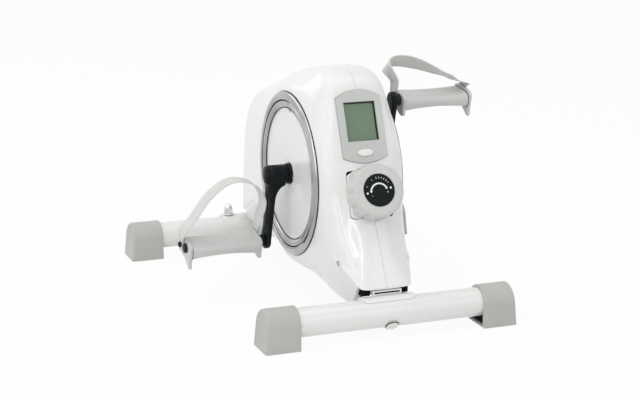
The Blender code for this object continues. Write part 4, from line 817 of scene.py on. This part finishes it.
# Housing screws. Zinc plated pan heads with a cross slot, sunk in deep round wells on the left half,
# whose threads pull the right half up to the seam.
for (y, z, reach, well), node in zip(screw_posts, ("front_housing_screw", "rear_housing_screw")):
    head = reach - 8.7 * mm
    stem = in_mm((0, -12), (1.2, -12), (1.8, -10.5))
    stem.append((1.8 * mm, head))
    pan = in_mm((3.7, 0), (3.9, 0.3), (3.9, 1.2), (3.5, 1.9), (2.6, 2.4), (1.2, 2.6), (0, 2.6))
    profile = stem + [(radius, head + distance) for radius, distance in pan]
    screw = fitted(node.replace("housing", "shell"), turned(profile, from_front(0, y, z), (-1, 0, 0), 48),
                   zinc, "base", "zinc_steel", node, crisp=0.5)
    face = head + 1.4 * mm
    cross = [block(from_front(-face - 3 * mm, y - a, z - b), from_front(-face, y + a, z + b))
             for a, b in ((2.2 * mm, 0.4 * mm), (0.4 * mm, 2.2 * mm))]
    carved(screw, cross[0], crisp=0.5)
    carved(screw, cross[1], crisp=0.5)


# Side discs. A thin white moulded disc closes each side of the housing, with a sleeve round the axle
# and a shallow dish, and a chrome plated ring with a groove and a bead covers its edge. The chrome's
# colour wanders in patches as painted reflections, and thin black rings in the groove, at the ring's
# inner edge and under its outer edge are painted shade lines.
# The chrome's colour wanders in patches between bright and dark: painted reflections.
ring_chrome_painted_reflections = handled(drifting_finish("ring_chrome_painted_reflections", (0.5, 0.5, 0.495), (0.3, 0.3, 0.3), (0.08, 0.2),
                                      13, 700, 0.02 * mm), 70, 0.12)
shader_of(ring_chrome_painted_reflections).inputs["Metallic"].default_value = 1
# Flat black for thin rings and sheets that stand in for shade lines and dark gaps: painted shade.
painted_shade_black = drifting_finish("painted_shade_black", (0.008, 0.009, 0.009), (0.014, 0.015, 0.015), (0.5, 0.7),
                             60, 1500, 0.1 * mm)
shader_of(painted_shade_black).inputs["Specular IOR Level"].default_value = 0.1
disc_profile = in_mm((14.5, -2.2), (97.7, -2.2), (97.7, 0), (88.5, 0), (87.6, -0.3), (86.4, -0.9),
                     (84.5, -1.1), (60, -0.9), (30, -0.5), (23.4, -0.4), (22.6, -0.1), (21.8, 0), (15.3, 0),
                     (14.5, -0.6))
ring_profile = in_mm((89.6, 0), (111.3, 0), (111.7, 0.4), (112, 1.2), (111.8, 2), (111.2, 2.8), (110, 3.5),
                     (108, 4.1), (105.6, 4.5), (103.4, 4.6), (102, 4.5), (101.3, 4.2), (101, 3.6),
                     (100.9, 1.6), (99.9, 1.6), (99.7, 2.6), (99.3, 3.3), (98.5, 3.8), (97.2, 4), (95.6, 3.9),
                     (94, 3.4), (92.6, 2.7), (91.4, 1.9), (90.4, 1.2), (89.6, 0.8))
# Black rings in the ring's groove, along its inner edge and under its outer edge: painted shade lines.
groove_shade_line = in_mm((99.95, 1.7), (100.85, 1.7), (100.85, 3.2), (100.4, 3.5), (99.95, 3.2))
inner_shade_line = in_mm((89.7, 0.9), (90.6, 1.5), (90.4, 1.75), (89.7, 1.4))
ring_edge_shade_line = in_mm((109, -0.25), (112.5, -0.25), (112.7, 0.1), (112.5, 0.45), (112.1, 0.5), (111.6, -0.05),
                  (109, -0.05))
for hand, side in (("left", -1), ("right", 1)):
    way = Vector((side, 0, 0))
    disc_middle = from_front(side * disc_plane, crank_behind, crank_height)
    disc = fitted(hand + "_disc", turned(disc_profile, disc_middle, way, 160), gloss_white, "base",
                  "white_shell", hand + "_disc_cover", crisp=0.5)
    near, far = sorted((side * (disc_plane - 4 * mm), side * (disc_plane + 2 * mm)))
    carved(disc, block(from_front(near, crank_behind - 2.5 * mm, crank_height + 84.6 * mm),
                       from_front(far, crank_behind + 2.5 * mm, crank_height + 104.6 * mm)), crisp=0.5)
    ring_foot = disc_middle + way * 0.3 * mm
    fitted(hand + "_chrome_ring", turned(ring_profile, ring_foot, way, 224), ring_chrome_painted_reflections, "base",
           "plated_ring", hand + "_trim_ring", crisp=0.9)
    for name, profile in (("ring_groove_bead", groove_shade_line), ("ring_inner_bead", inner_shade_line),
                          ("ring_edge_shade_line", ring_edge_shade_line)):
        fitted("{}_{}".format(hand, name), turned(profile, ring_foot, way, 224), painted_shade_black, "base",
               "black_plastic", crisp=0.9)


# Console. A satin silver-grey bezel with an arched top carries a sunk window over the liquid crystal
# panel and one oval button. The board and a black back cover are behind it, inside the housing.
def rounded_edges(piece, width, segments=3, angle=0.6):
    soft = piece.modifiers.new("edge_rounding", "BEVEL")
    soft.width = width
    soft.segments = segments
    soft.limit_method = "ANGLE"
    soft.angle_limit = angle
    soft.harden_normals = True


def oval(width, height, steps=64):
    turns = [math.tau * i / steps for i in range(steps)]
    return [(width / 2 * math.cos(a), height / 2 * math.sin(a)) for a in turns]


bezel_paint = drifting_finish("bezel_satin", (0.545, 0.56, 0.545), (0.52, 0.53, 0.515), (0.3, 0.4),
                              20, 1600, 0.04 * mm)
clear_plastic = drifting_finish("window_plastic", (0.97, 0.98, 0.97), (0.94, 0.96, 0.95), (0.02, 0.06),
                                25, 900, 0.01 * mm)
shader_of(clear_plastic).inputs["Transmission Weight"].default_value = 1
shader_of(clear_plastic).inputs["IOR"].default_value = 1.15
lcd_green = drifting_finish("lcd_green", (0.16, 0.235, 0.165), (0.17, 0.245, 0.16), (0.35, 0.5),
                            22, 2600, 0.03 * mm)
shader_of(lcd_green).inputs["Specular IOR Level"].default_value = 0.15
# Black for the panel's own border, drawn wider at the top and the right as painted shade from the window's
# edge.
border_and_shade_black = drifting_finish("border_and_shade_black", (0.015, 0.02, 0.018), (0.022, 0.03, 0.026), (0.3, 0.45),
                             40, 1500, 0.03 * mm)
shader_of(border_and_shade_black).inputs["Specular IOR Level"].default_value = 0.15
board_green = drifting_finish("board_green", (0.02, 0.12, 0.05), (0.03, 0.17, 0.07), (0.3, 0.55),
                              260, 1200, 0.2 * mm)

proud = 3 * mm
front_wall = proud - 2.5 * mm
button_up = -41.5 * mm
bezel = fitted("console_bezel_frame", console_face.slab(bezel_outline(0), proud - 8 * mm, proud), bezel_paint,
               "base", "bezel_grey", "console_bezel", crisp=0.5)
carved(bezel, console_face.slab(bezel_outline(-2.2 * mm), proud - 9 * mm, front_wall), crisp=0.5)
below = front_wall - 1 * mm
above = proud + 1 * mm
carved(bezel, together(console_face.slab(round_cornered(44 * mm, 52 * mm, 0.8 * mm), below, above),
                       console_face.slab(oval(22.6 * mm, 10.6 * mm), below, above, button_up)), crisp=0.5)
rounded_edges(bezel, 0.55 * mm)

window_high = front_wall - 0.3 * mm
pane = console_face.slab(round_cornered(50 * mm, 58 * mm, 1 * mm), window_high - 1.8 * mm, window_high)
window = fitted("display_window", pane, clear_plastic, "base", "window_clear", "lcd_window", crisp=0.5)
rounded_edges(window, 0.2 * mm, 2)

panel_high = window_high - 2.1 * mm
sheet = console_face.slab(round_cornered(46 * mm, 54 * mm, 0.6 * mm), panel_high - 3.4 * mm, panel_high)
panel = fitted("display_panel", sheet, lcd_green, "base", "display_green", "lcd_panel", crisp=0.5)
rounded_edges(panel, 0.2 * mm, 2)

# The panel's black border, with its opening set down and to the left so that the border is wider along the
# top and the right side: the border is real, the extra width is painted shade.
border = console_face.slab(round_cornered(45.6 * mm, 53.6 * mm, 0.6 * mm), panel_high, panel_high + 0.2 * mm)
border_and_shade = fitted("display_mask", border, border_and_shade_black, "base", "black_plastic", crisp=0.5)
shown = [(u - 0.3 * mm, v - 0.5 * mm) for u, v in round_cornered(41.4 * mm, 49.2 * mm, 0.5 * mm)]
carved(border_and_shade, console_face.slab(shown, panel_high - 1 * mm, panel_high + 1 * mm), crisp=0.5)
refinish(board_green, "console_circuit_board")
refinish(black_nylon, "console_back_cover")

button_white = drifting_finish("button_white", (0.84, 0.84, 0.83), (0.81, 0.81, 0.8), (0.2, 0.3),
                               60, 900, 0.04 * mm)
button_foot = front_wall - 2.6 * mm
button_rings = []
for grow, out in ((-1.2, button_foot), (0, button_foot), (0, proud + 0.3 * mm), (-0.3, proud + 0.7 * mm),
                  (-1.1, proud + 1 * mm), (-3, proud + 1.15 * mm), (-6.5, proud + 1.2 * mm)):
    button_rings.append([console_face.at(u, v + button_up, out)
                         for u, v in oval((22 + grow) * mm, (10 + grow) * mm)])
push_button = fitted("oval_button", skin(button_rings), button_white, "console_button", "white_shell",
                     "console_button", crisp=0.7)
flange = console_face.slab(oval(26 * mm, 14 * mm), front_wall - 1.5 * mm, front_wall - 0.3 * mm, button_up)
carved(push_button, flange, "UNION", crisp=0.7)


# Tension control. A white base plate with two cut corners stands in a square opening of the
# housing. Its grey ABS knob has finger scallops round the side and a printed black label in front.
knob_grey = handled(drifting_finish("knob_grey", (0.6, 0.605, 0.59), (0.575, 0.58, 0.565), (0.26, 0.36),
                                    18, 900, 0.06 * mm), 60, 0.06)
label_black = drifting_finish("label_black", (0.006, 0.01, 0.01), (0.01, 0.014, 0.014), (0.4, 0.55),
                              40, 1800, 0.02 * mm)
shader_of(label_black).inputs["Specular IOR Level"].default_value = 0.08
print_white = drifting_finish("print_white", (0.84, 0.85, 0.84), (0.76, 0.77, 0.76), (0.35, 0.45),
                              300, 2500, 0.02 * mm)

half_wide = 29.5
half_high = 31
corners = ((half_wide, half_high - 3), (half_wide - 3, half_high), (9 - half_wide, half_high),
           (-half_wide, half_high - 4.95), (-half_wide, 5 - half_high), (1.4 - half_wide, 1.4 - half_high),
           (5 - half_wide, -half_high), (half_wide - 9, -half_high), (half_wide, 4.95 - half_high))
plate = in_mm(*corners)
hollow = in_mm(*[(u * 0.9, v * 0.9) for u, v in corners])
spindle_bore = 4.3 * mm
base_plate = fitted("knob_base", control_face.slab(plate, -8.8 * mm, 2.2 * mm), gloss_white, "base",
                    "white_shell", "tension_base", crisp=0.5)
carved(base_plate, control_face.slab(hollow, -9.8 * mm, -0.8 * mm), crisp=0.5)
carved(base_plate, rod(spindle_bore, control_face.at(0, 0, -20 * mm), control_face.at(0, 0, 20 * mm)),
       crisp=0.5)
rounded_edges(base_plate, 0.9 * mm, 4)

# A black sheet behind the base plate, so that the gaps round the plate show dark: painted shade.
shade_sheet_slab = control_face.slab(round_cornered(63 * mm, 66 * mm, 5 * mm), -13.6 * mm, -12.4 * mm)
shade_sheet = fitted("knob_tray", shade_sheet_slab, painted_shade_black, "base", "black_plastic", crisp=0.5)
carved(shade_sheet, rod(9 * mm, control_face.at(0, 0, -20 * mm), control_face.at(0, 0, 0)), crisp=0.5)

knob_low = 3.2 * mm
knob_high = 30 * mm
knob_scallops = 12


def scalloped(radius, depth, steps=288):
    ring = []
    for i in range(steps):
        angle = math.tau * i / steps
        reach = radius - depth * max(0.0, math.cos(angle * knob_scallops)) ** 1.6
        ring.append((reach * math.cos(angle), reach * math.sin(angle)))
    return ring


knob_rings = []
# The knob's side and its face, in mm: the radius, how deep the scallops are, and how far out.
knob_side = ((35.2, 2.3, 3.2), (36.1, 2.4, 3.5), (36.5, 2.4, 4.2), (36.5, 2.4, 6), (36.4, 2.45, 12),
             (36.1, 2.45, 18), (35.8, 2.35, 22), (35.5, 1.9, 24.4), (35.2, 1.2, 26), (34.8, 0.5, 27.3),
             (34.4, 0.1, 28.2), (33.8, 0, 28.9), (33, 0, 29.4), (32, 0, 29.8), (30.6, 0, 30))
knob_front = ((27, 0, 29.95), (24.2, 0, 29.9), (23.2, 0, 29.95), (22.5, 0, 30.1), (21.9, 0, 30),
              (21.5, 0, 29.6), (21.5, 0, 29.3))
for radius, depth, out in knob_side + knob_front:
    knob_rings.append([control_face.at(u * mm, v * mm, out * mm) for u, v in scalloped(radius, depth)])
knob = fitted("scalloped_knob", skin(knob_rings), knob_grey, "knob", "knob_grey", "tension_knob", crisp=0.8)
carved(knob, rod(spindle_bore, control_face.at(0, 0, knob_low - 5 * mm),
                 control_face.at(0, 0, knob_low + 14.3 * mm)), crisp=0.8)

label_face = knob_high + 0.3 * mm
label_radius = 21.2 * mm
label_profile = ((0, -0.6 * mm), (label_radius, -0.6 * mm), (label_radius, -0.15 * mm),
                 (label_radius - 0.2 * mm, 0), (0, 0))
label = turned(label_profile, control_face.at(0, 0, label_face), control_face.out, 128)
fitted("dial_label", label, label_black, "knob", "black_plastic", "knob_label", crisp=0.5)


def on_label(radius, degrees):
    return (radius * math.cos(math.radians(degrees)), radius * math.sin(math.radians(degrees)))


print_low = label_face - 0.02 * mm
print_high = label_face + 0.06 * mm
marks = []
arc_middle = -0.14 * label_radius
arc_radius = 0.55 * label_radius
arc_start = 31
arc_end = 167
sweep = [arc_start + (arc_end - arc_start) * i / 40 for i in range(41)]
outside = [on_label(arc_radius + 1.05 * mm, a) for a in sweep]
inside = [on_label(arc_radius - 1.05 * mm, a) for a in sweep[::-1]]
marks.append(control_face.slab([(u, v + arc_middle) for u, v in outside + inside], print_low, print_high))
for at, turn in ((arc_end, 1), (arc_start, -1)):
    tip = on_label(arc_radius - 0.2 * mm, at + turn * 14)
    wings = [on_label(arc_radius + 2.1 * mm, at), on_label(arc_radius - 2.1 * mm, at)]
    marks.append(control_face.slab([(u, v + arc_middle) for u, v in (tip, *wings)], print_low, print_high))
for radius, degrees, size in ((0.8, 191, 1.35), (0.77, 7, 1.45)):
    u, v = on_label(radius * label_radius, degrees)
    dot = [(u + a, v + b) for a, b in oval(2 * size * mm, 2 * size * mm, 24)]
    marks.append(control_face.slab(dot, print_low, print_high))
tick_way = Vector(on_label(1, 161))
tick_across = Vector((-tick_way.y, tick_way.x))
tick_middle = tick_way * 0.81 * label_radius
tick_corners = [tick_middle + tick_way * a * mm + tick_across * b * mm
                for a, b in ((-0.8, -0.25), (0.8, -0.25), (0.8, 0.25), (-0.8, 0.25))]
marks.append(control_face.slab([tuple(corner) for corner in tick_corners], print_low, print_high))
fitted("dial_marks", together(*marks), print_white, "knob", "knob_grey", crisp=0.5)


def printed(name, words, size, across, up, turn):
    """A printed figure on the dial label, turned about its own middle."""
    letters = bpy.data.curves.new(name, "FONT")
    letters.body = words
    letters.size = size
    letters.align_x = "CENTER"
    letters.align_y = "CENTER"
    letters.extrude = 0.04 * mm
    letters.offset = 0.06 * mm
    maker = bpy.data.objects.new(name + "_outline", letters)
    bpy.context.scene.collection.objects.link(maker)
    bpy.context.view_layer.update()
    mesh = bpy.data.meshes.new_from_object(maker.evaluated_get(bpy.context.evaluated_depsgraph_get()))
    bpy.data.objects.remove(maker)
    upright = control_face.up * math.cos(turn) + Vector((-1, 0, 0)) * math.sin(turn)
    sideways = upright.cross(control_face.out)
    spot = control_face.at(across, up, print_low + 0.04 * mm)
    out = control_face.out
    mesh.transform(Matrix(((sideways.x, upright.x, out.x, spot.x), (sideways.y, upright.y, out.y, spot.y),
                           (sideways.z, upright.z, out.z, spot.z), (0, 0, 0, 1))))
    mesh.name = name
    mesh.materials.clear()
    mesh.materials.append(print_white)
    piece = bpy.data.objects.new(name, mesh)
    bpy.context.scene.collection.objects.link(piece)
    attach(piece, "knob")


for number, degrees in enumerate((123, 99, 86, 73, 60, 47, 35), 1):
    u, v = on_label(0.76 * label_radius, degrees)
    printed("dial_number_{}".format(number), str(number), 3.1 * mm, u, v, math.radians(degrees - 90))
printed("dial_less", "-", 5 * mm, -10.4 * mm, -6.6 * mm, 0)
printed("dial_more", "+", 4.4 * mm, 11.4 * mm, -3.4 * mm, 0)

pointer = turned(in_mm((0, 0), (1.1, 0), (1.1, 0.25), (0.8, 0.45), (0, 0.55)), (0, 0, 0), (0, 0, 1), 32)
pointer_tilt = math.radians(-22)
pointer_place = Vector(on_label(25.4 * mm, 67))
for vertex in pointer.verts:
    stretch = 1.9 if vertex.co.y > 0 else 1.3
    u, v = vertex.co.x, vertex.co.y * stretch
    across = pointer_place.x + u * math.cos(pointer_tilt) - v * math.sin(pointer_tilt)
    up = pointer_place.y + u * math.sin(pointer_tilt) + v * math.cos(pointer_tilt)
    vertex.co = control_face.at(across, up, knob_high - 0.2 * mm + vertex.co.z)
fitted("knob_pointer", pointer, print_white, "knob", "knob_grey", crisp=0.6)


# Cranks. Black enamelled steel arms, thick at the axle and thin at the pedal, each pressed on the
# squared end of the axle behind a domed cap.
black_enamel = handled(drifting_finish("black_enamel", (0.004, 0.008, 0.009), (0.007, 0.012, 0.013),
                                       (0.18, 0.28), 26, 650, 0.1 * mm), 55, 0.1)
shader_of(black_enamel).inputs["Specular IOR Level"].default_value = 0.12
crank_middle = from_front(0, crank_behind, crank_height)
crank_lean = math.radians(-3.5)
crank_reach = 93 * mm


def arm_way(side):
    """From the axle to the pedal: the right arm points up and the left arm down."""
    return Vector((0, math.sin(crank_lean), math.cos(crank_lean))) * side


def smooth_run(points, steps):
    places = [Vector(p) for p in points]
    places = [2 * places[0] - places[1]] + places + [2 * places[-1] - places[-2]]
    run = []
    for i in range(1, len(places) - 2):
        run += [curve_between(places[i - 1:i + 3], k / steps) for k in range(steps)]
    return run + [places[-2]]


# Along the arm, in mm: the distance from the axle, where its inner and outer faces are, its half width.
arm_stations = ((0, 66.4, 90.1, 11.5), (12.5, 66.8, 90.1, 11.5), (13.7, 68.6, 90.1, 11.5),
                (15.5, 71.6, 90.15, 11.5), (17.5, 74.1, 90.15, 11.5), (20.5, 76.6, 90.2, 11.6),
                (25, 79, 90.25, 11.7), (31, 80.8, 90.3, 11.8), (38, 81.7, 90.5, 11.85),
                (46.8, 82.5, 90.75, 11.9), (60, 83.6, 91.4, 12), (75, 85.1, 92.5, 12.15),
                (88, 86.2, 94.3, 12.3), (93, 86.5, 95.1, 12.4))


def crank_arm(hand, side):
    """An arm skinned over its stations, with a rounded end, joined to the boss on the axle."""
    along = arm_way(side)
    across = along.cross(Vector((1, 0, 0)))
    rings = []
    last, low, high, half = arm_stations[-1]
    around_end = []
    for a in [math.pi / 2 * i / 12 for i in range(1, 12)]:
        thinner = 1.2 * (1 - math.cos(a))
        around_end.append((last + 11.5 * math.sin(a), low + thinner, high - thinner, half * math.cos(a)))
    for distance, low, high, half in list(smooth_run(arm_stations, 4)) + around_end:
        corner = min(3.2, half * 0.8, (high - low) * 0.4)
        place = crank_middle + along * distance * mm + Vector((side * (low + high) / 2 * mm, 0, 0))
        rings.append([place + across * u + Vector((side * v, 0, 0))
                      for u, v in round_cornered(2 * half * mm, (high - low) * mm, corner * mm, 6)])
    arm = fitted(hand + "_crank_arm", skin(rings), black_enamel, "crank", "black_steel", hand + "_crank",
                 crisp=0.8)
    outward = Vector((side * mm, 0, 0))
    boss = in_mm((0, 0), (13, 0), (13.9, 0.3), (14.2, 1.1), (14.2, 3.1), (13.9, 3.8), (13, 4.1), (12.1, 4.4),
                 (12.1, 5), (12.9, 5.5), (13.3, 6.4), (13.3, 30), (13, 30.9), (12.3, 31.4), (0, 31.4))
    carved(arm, turned(boss, crank_middle + outward * 59.2, outward, 72), "UNION", crisp=0.8)
    eye = crank_middle + along * crank_reach
    axle_bore = rod(7.8 * mm, crank_middle + outward * 54, crank_middle + outward * 98, 48)
    spindle_hole = rod(6.3 * mm, eye + outward * 80, eye + outward * 110, 48)
    carved(arm, together(axle_bore, spindle_hole), crisp=0.8)
    dome = [(12.7 * math.cos(a), 4.9 + 4 * math.sin(a)) for a in [math.pi / 2 * i / 10 for i in range(1, 10)]]
    cap = in_mm((0, 0), (7.5, 0), (7.5, 4), (12.2, 4), (12.6, 4.3), (12.7, 4.9), *dome, (0, 8.9))
    fitted(hand + "_axle_cap", turned(cap, crank_middle + outward * 86.9, outward, 72), black_enamel, "crank",
           "black_plastic", hand + "_crank_cap", crisp=0.8)


crank_arm("left", -1)
crank_arm("right", 1)


# Pedals. Light grey polypropylene, a waisted tread between two end plates whose lower tips hang
# down so that the pedal stays level. Each turns on a black spindle screwed into its crank.
pedal_grey = drifting_finish("pedal_grey", (0.6, 0.605, 0.59), (0.57, 0.575, 0.56), (0.34, 0.46),
                             18, 1000, 0.12 * mm)
pedal_inner = 101.1
pedal_outer = pedal_inner + 103.5
plate_thickness = 4.5
pedal_bore = 4.7 * mm
# The tread from the side, in mm.
tread = ((-14.3, 0.4), (-11.6, 3.4), (-7, 5.5), (0, 7), (8, 7.9), (19, 8.8), (26, 9), (29.3, 7.2), (30, 2.6),
         (27.4, -5.4), (24, -11), (19, -13.4), (10, -14.2), (2, -14.6), (-5, -15), (-9.6, -14.6),
         (-12.8, -12.2), (-14.7, -8.6), (-15.4, -4))


def end_plate(tip):
    """An end plate from the side, in mm. Its toe hangs down to a tip."""
    return ((-15.6, 2.6), (-12, 6.4), (-4, 8.8), (8, 10.4), (20, 11.6), (28, 12), (31.2, 10), (31.6, 5),
            (28.5, -5), (24.5, -12), (20, -14.4), (10, -16), (2, -13 - tip * 0.3),
            (-4, -8 - tip * 0.62), (-8, -tip), (-10.4, 1.2 - tip), (-12, -7 - tip * 0.35), (-14.4, -7),
            (-16.4, 0))


def closed_run(points, steps):
    count = len(points)
    run = []
    for i in range(count):
        four = [Vector(points[(i + k) % count]) for k in (-1, 0, 1, 2)]
        run += [curve_between(four, k / steps) for k in range(steps)]
    return run


def shrunk(points, by):
    """The outline moved in by a distance."""
    moved = []
    for i, point in enumerate(points):
        run = (points[(i + 1) % len(points)] - points[i - 1]).normalized()
        moved.append(point + Vector((run.y, -run.x)) * by)
    return moved


def pedal(hand, side):
    """Distances along the spindle are in mm from the middle of the bike."""
    centre = crank_middle + arm_way(side) * crank_reach
    outward = Vector((side * mm, 0, 0))
    tread_run = closed_run(tread, 5)

    def ring(points, x, tall=1.0, deep=1.0):
        return [centre + outward * x + Vector((0, p.x * deep * mm, p.y * tall * mm)) for p in points]

    def plate_at(start, tip):
        plate_run = closed_run(end_plate(tip), 5)
        edge = ((0, 0.8), (0.2, 0.3), (0.8, 0), (plate_thickness - 0.8, 0), (plate_thickness - 0.2, 0.3),
                (plate_thickness, 0.8))
        return skin([ring(shrunk(plate_run, inset), start + across) for across, inset in edge])

    body = fitted(hand + "_pedal_body", plate_at(pedal_inner, 22), pedal_grey, hand + "_pedal", "pedal_grey",
                  hand + "_pedal", crisp=0.7)
    start = pedal_inner + plate_thickness - 1
    end = pedal_outer - plate_thickness + 1
    rings = []
    for i in range(37):
        t = i / 36
        waist = 0.78 + 0.22 * (2 * t - 1) ** 2
        if min(t, 1 - t) * (end - start) < 2.6:
            waist *= 0.985
        rings.append(ring(tread_run, start + (end - start) * t, waist, 0.9 + 0.1 * waist))
    carved(body, skin(rings), "UNION", crisp=0.7)
    carved(body, plate_at(pedal_outer - plate_thickness, 28), "UNION", crisp=0.7)
    carved(body, rod(pedal_bore, centre + outward * (pedal_inner - 5), centre + outward * (pedal_outer + 5),
                     48), crisp=0.7)
    # A thin black ring where the tread meets the outer end plate: painted shade for the dark line of the
    # joint.
    line = [ring(shrunk(tread_run, inset), pedal_outer + across)
            for across, inset in ((-5.4, 0.3), (-5.3, -0.35), (-4.7, -0.35), (-4.45, 0.3))]
    groove = fitted(hand + "_tread_shade_line", skin(line), painted_shade_black, hand + "_pedal", "black_plastic",
                    crisp=0.7)
    carved(groove, rod(pedal_bore, centre + outward * (pedal_outer - 9), centre + outward * pedal_outer, 48))
    collar = in_mm((0, 86.5), (6, 86.5), (6, 95.4), (7.8, 95.4), (8.4, 95.9), (8.4, 100.3), (7.9, 100.8),
                   (4.4, 100.8))
    head = in_mm(*[(radius, pedal_outer + past)
                   for radius, past in ((4.4, 0.3), (6.6, 0.3), (6.9, 0.6), (6.9, 2.6), (6.6, 3.3), (5.7, 4),
                                        (4.4, 4.5), (0, 4.5))])
    fitted(hand + "_spindle", turned(collar + head, centre, outward, 48), black_nylon, "crank",
           "black_plastic", hand + "_pedal_spindle", crisp=0.6)


pedal("left", -1)
pedal("right", 1)


# Pedal straps. Soft translucent vinyl bands, broad over the foot and narrowed to a tab at each end,
# where a black stud pins them to the pedal's end plates. Their long edges are thicker beads.
strap_vinyl = drifting_finish("strap_vinyl", (0.76, 0.765, 0.745), (0.72, 0.725, 0.705), (0.3, 0.42),
                              26, 500, 0.12 * mm)
shader_of(strap_vinyl).inputs["Transmission Weight"].default_value = 0.15
shader_of(strap_vinyl).inputs["IOR"].default_value = 1.3
strap_thick = 1.5
strap_gap = 0.3
right_lean = math.radians(40)
# Round the band's section: how far across from its middle and how far through, with beaded edges.
band_section = ((-1, -0.8), (-0.97, -1), (-0.9, -0.95), (-0.86, -0.75), (0.86, -0.75), (0.9, -0.95),
                (0.97, -1), (1, -0.8), (1, 0.8), (0.97, 1), (0.9, 0.95), (0.86, 0.75), (-0.86, 0.75),
                (-0.9, 0.95), (-0.97, 1), (-1, 0.8))
# Along the band's two ends: how far past the tab, the height, where its middle lies, and its half width.
outer_tab = ((0, -18, 11, 7), (0, -13, 11, 9), (0, -3, 10.5, 10), (0.8, 4, 7, 12))
inner_tab = ((0.6, 15, 3, 14), (0, 8, 7, 12), (0, 1, 10, 10), (0, -6, 11, 9), (0, -13, 11, 9),
             (0, -18, 11, 7))


def pedal_strap(hand, side, arch):
    """The arch is given in mm: distances in from the outer tab, and heights."""
    outward = Vector((side * mm, 0, 0))
    hold = crank_middle + arm_way(side) * crank_reach + Vector((0, 9 * mm, 8 * mm))
    inner = pedal_inner - strap_gap - strap_thick / 2
    outer = pedal_outer + strap_gap + strap_thick / 2
    lean = right_lean if side > 0 else 0
    path = [(outer + past, height, middle, half) for past, height, middle, half in outer_tab]
    path += [(outer - short, height, 0, 15) for short, height in arch]
    path += [(inner - past, height, middle, half) for past, height, middle, half in inner_tab]
    run = smooth_run(path, 6)
    rings = []
    for i, (x, height, middle, half) in enumerate(run):
        after = run[min(i + 1, len(run) - 1)]
        before = run[max(i - 1, 0)]
        way = Vector((after[0] - before[0], after[1] - before[1])).normalized()
        normal = Vector((way.y, -way.x)) * strap_thick / 2
        tilt = lean * smooth_step((height - 2) / 52)
        ring = []
        for across, share in band_section:
            wide = middle + across * half
            tall = height + normal.y * share
            ring.append(hold + outward * (x + normal.x * share)
                        + Vector((0, (wide * math.cos(tilt) + tall * math.sin(tilt)) * mm,
                                  (tall * math.cos(tilt) - wide * math.sin(tilt)) * mm)))
        rings.append(ring)
    band = fitted(hand + "_foot_strap", skin(rings), strap_vinyl, hand + "_pedal", "strap_clear_grey",
                  hand + "_strap", crisp=0.9)
    stud = hold + Vector((0, 11 * mm, -8 * mm))
    carved(band, rod(2.3 * mm, stud + outward * 93, stud + outward * 214, 32), crisp=0.9)
    outer_face = stud + outward * (outer + strap_thick / 2 + strap_gap)
    head = in_mm((0, -6.5), (2, -6.5), (2, 0), (3.8, 0), (4, 0.3), (4, 1.8), (3.6, 2.6), (2.6, 3.2),
                 (1.2, 3.4), (0, 3.4))
    fitted(hand + "_outer_stud", turned(head, outer_face, outward, 40), black_nylon, hand + "_pedal",
           "black_plastic", hand + "_strap_outer_stud", crisp=0.6)
    inner_face = stud + outward * (inner - strap_thick / 2 - strap_gap)
    head = in_mm((0, -1), (3.6, -1), (4, -0.6), (4, 0), (2, 0), (2, 5.5), (0, 5.5))
    fitted(hand + "_inner_stud", turned(head, inner_face, outward, 40), black_nylon, hand + "_pedal",
           "black_plastic", hand + "_strap_inner_stud", crisp=0.6)


pedal_strap("left", -1, ((-1.4, 11), (3, 19), (11.5, 27), (22.5, 42), (34.5, 57), (48.5, 69), (62.5, 76.5),
                         (75.5, 78.5), (88.5, 76), (100, 70.5), (107.8, 62), (113, 50.5), (112.7, 39.5),
                         (108.5, 27)))
pedal_strap("right", 1, ((0.2, 7.4), (4.6, 9.4), (10, 10.4), (17, 13), (26, 19), (36.5, 23), (46, 28.6),
                         (59, 37.4), (67.5, 43), (80, 48.4), (95, 50), (106.6, 46.4), (112.4, 38.4),
                         (112.2, 30), (109, 21)))
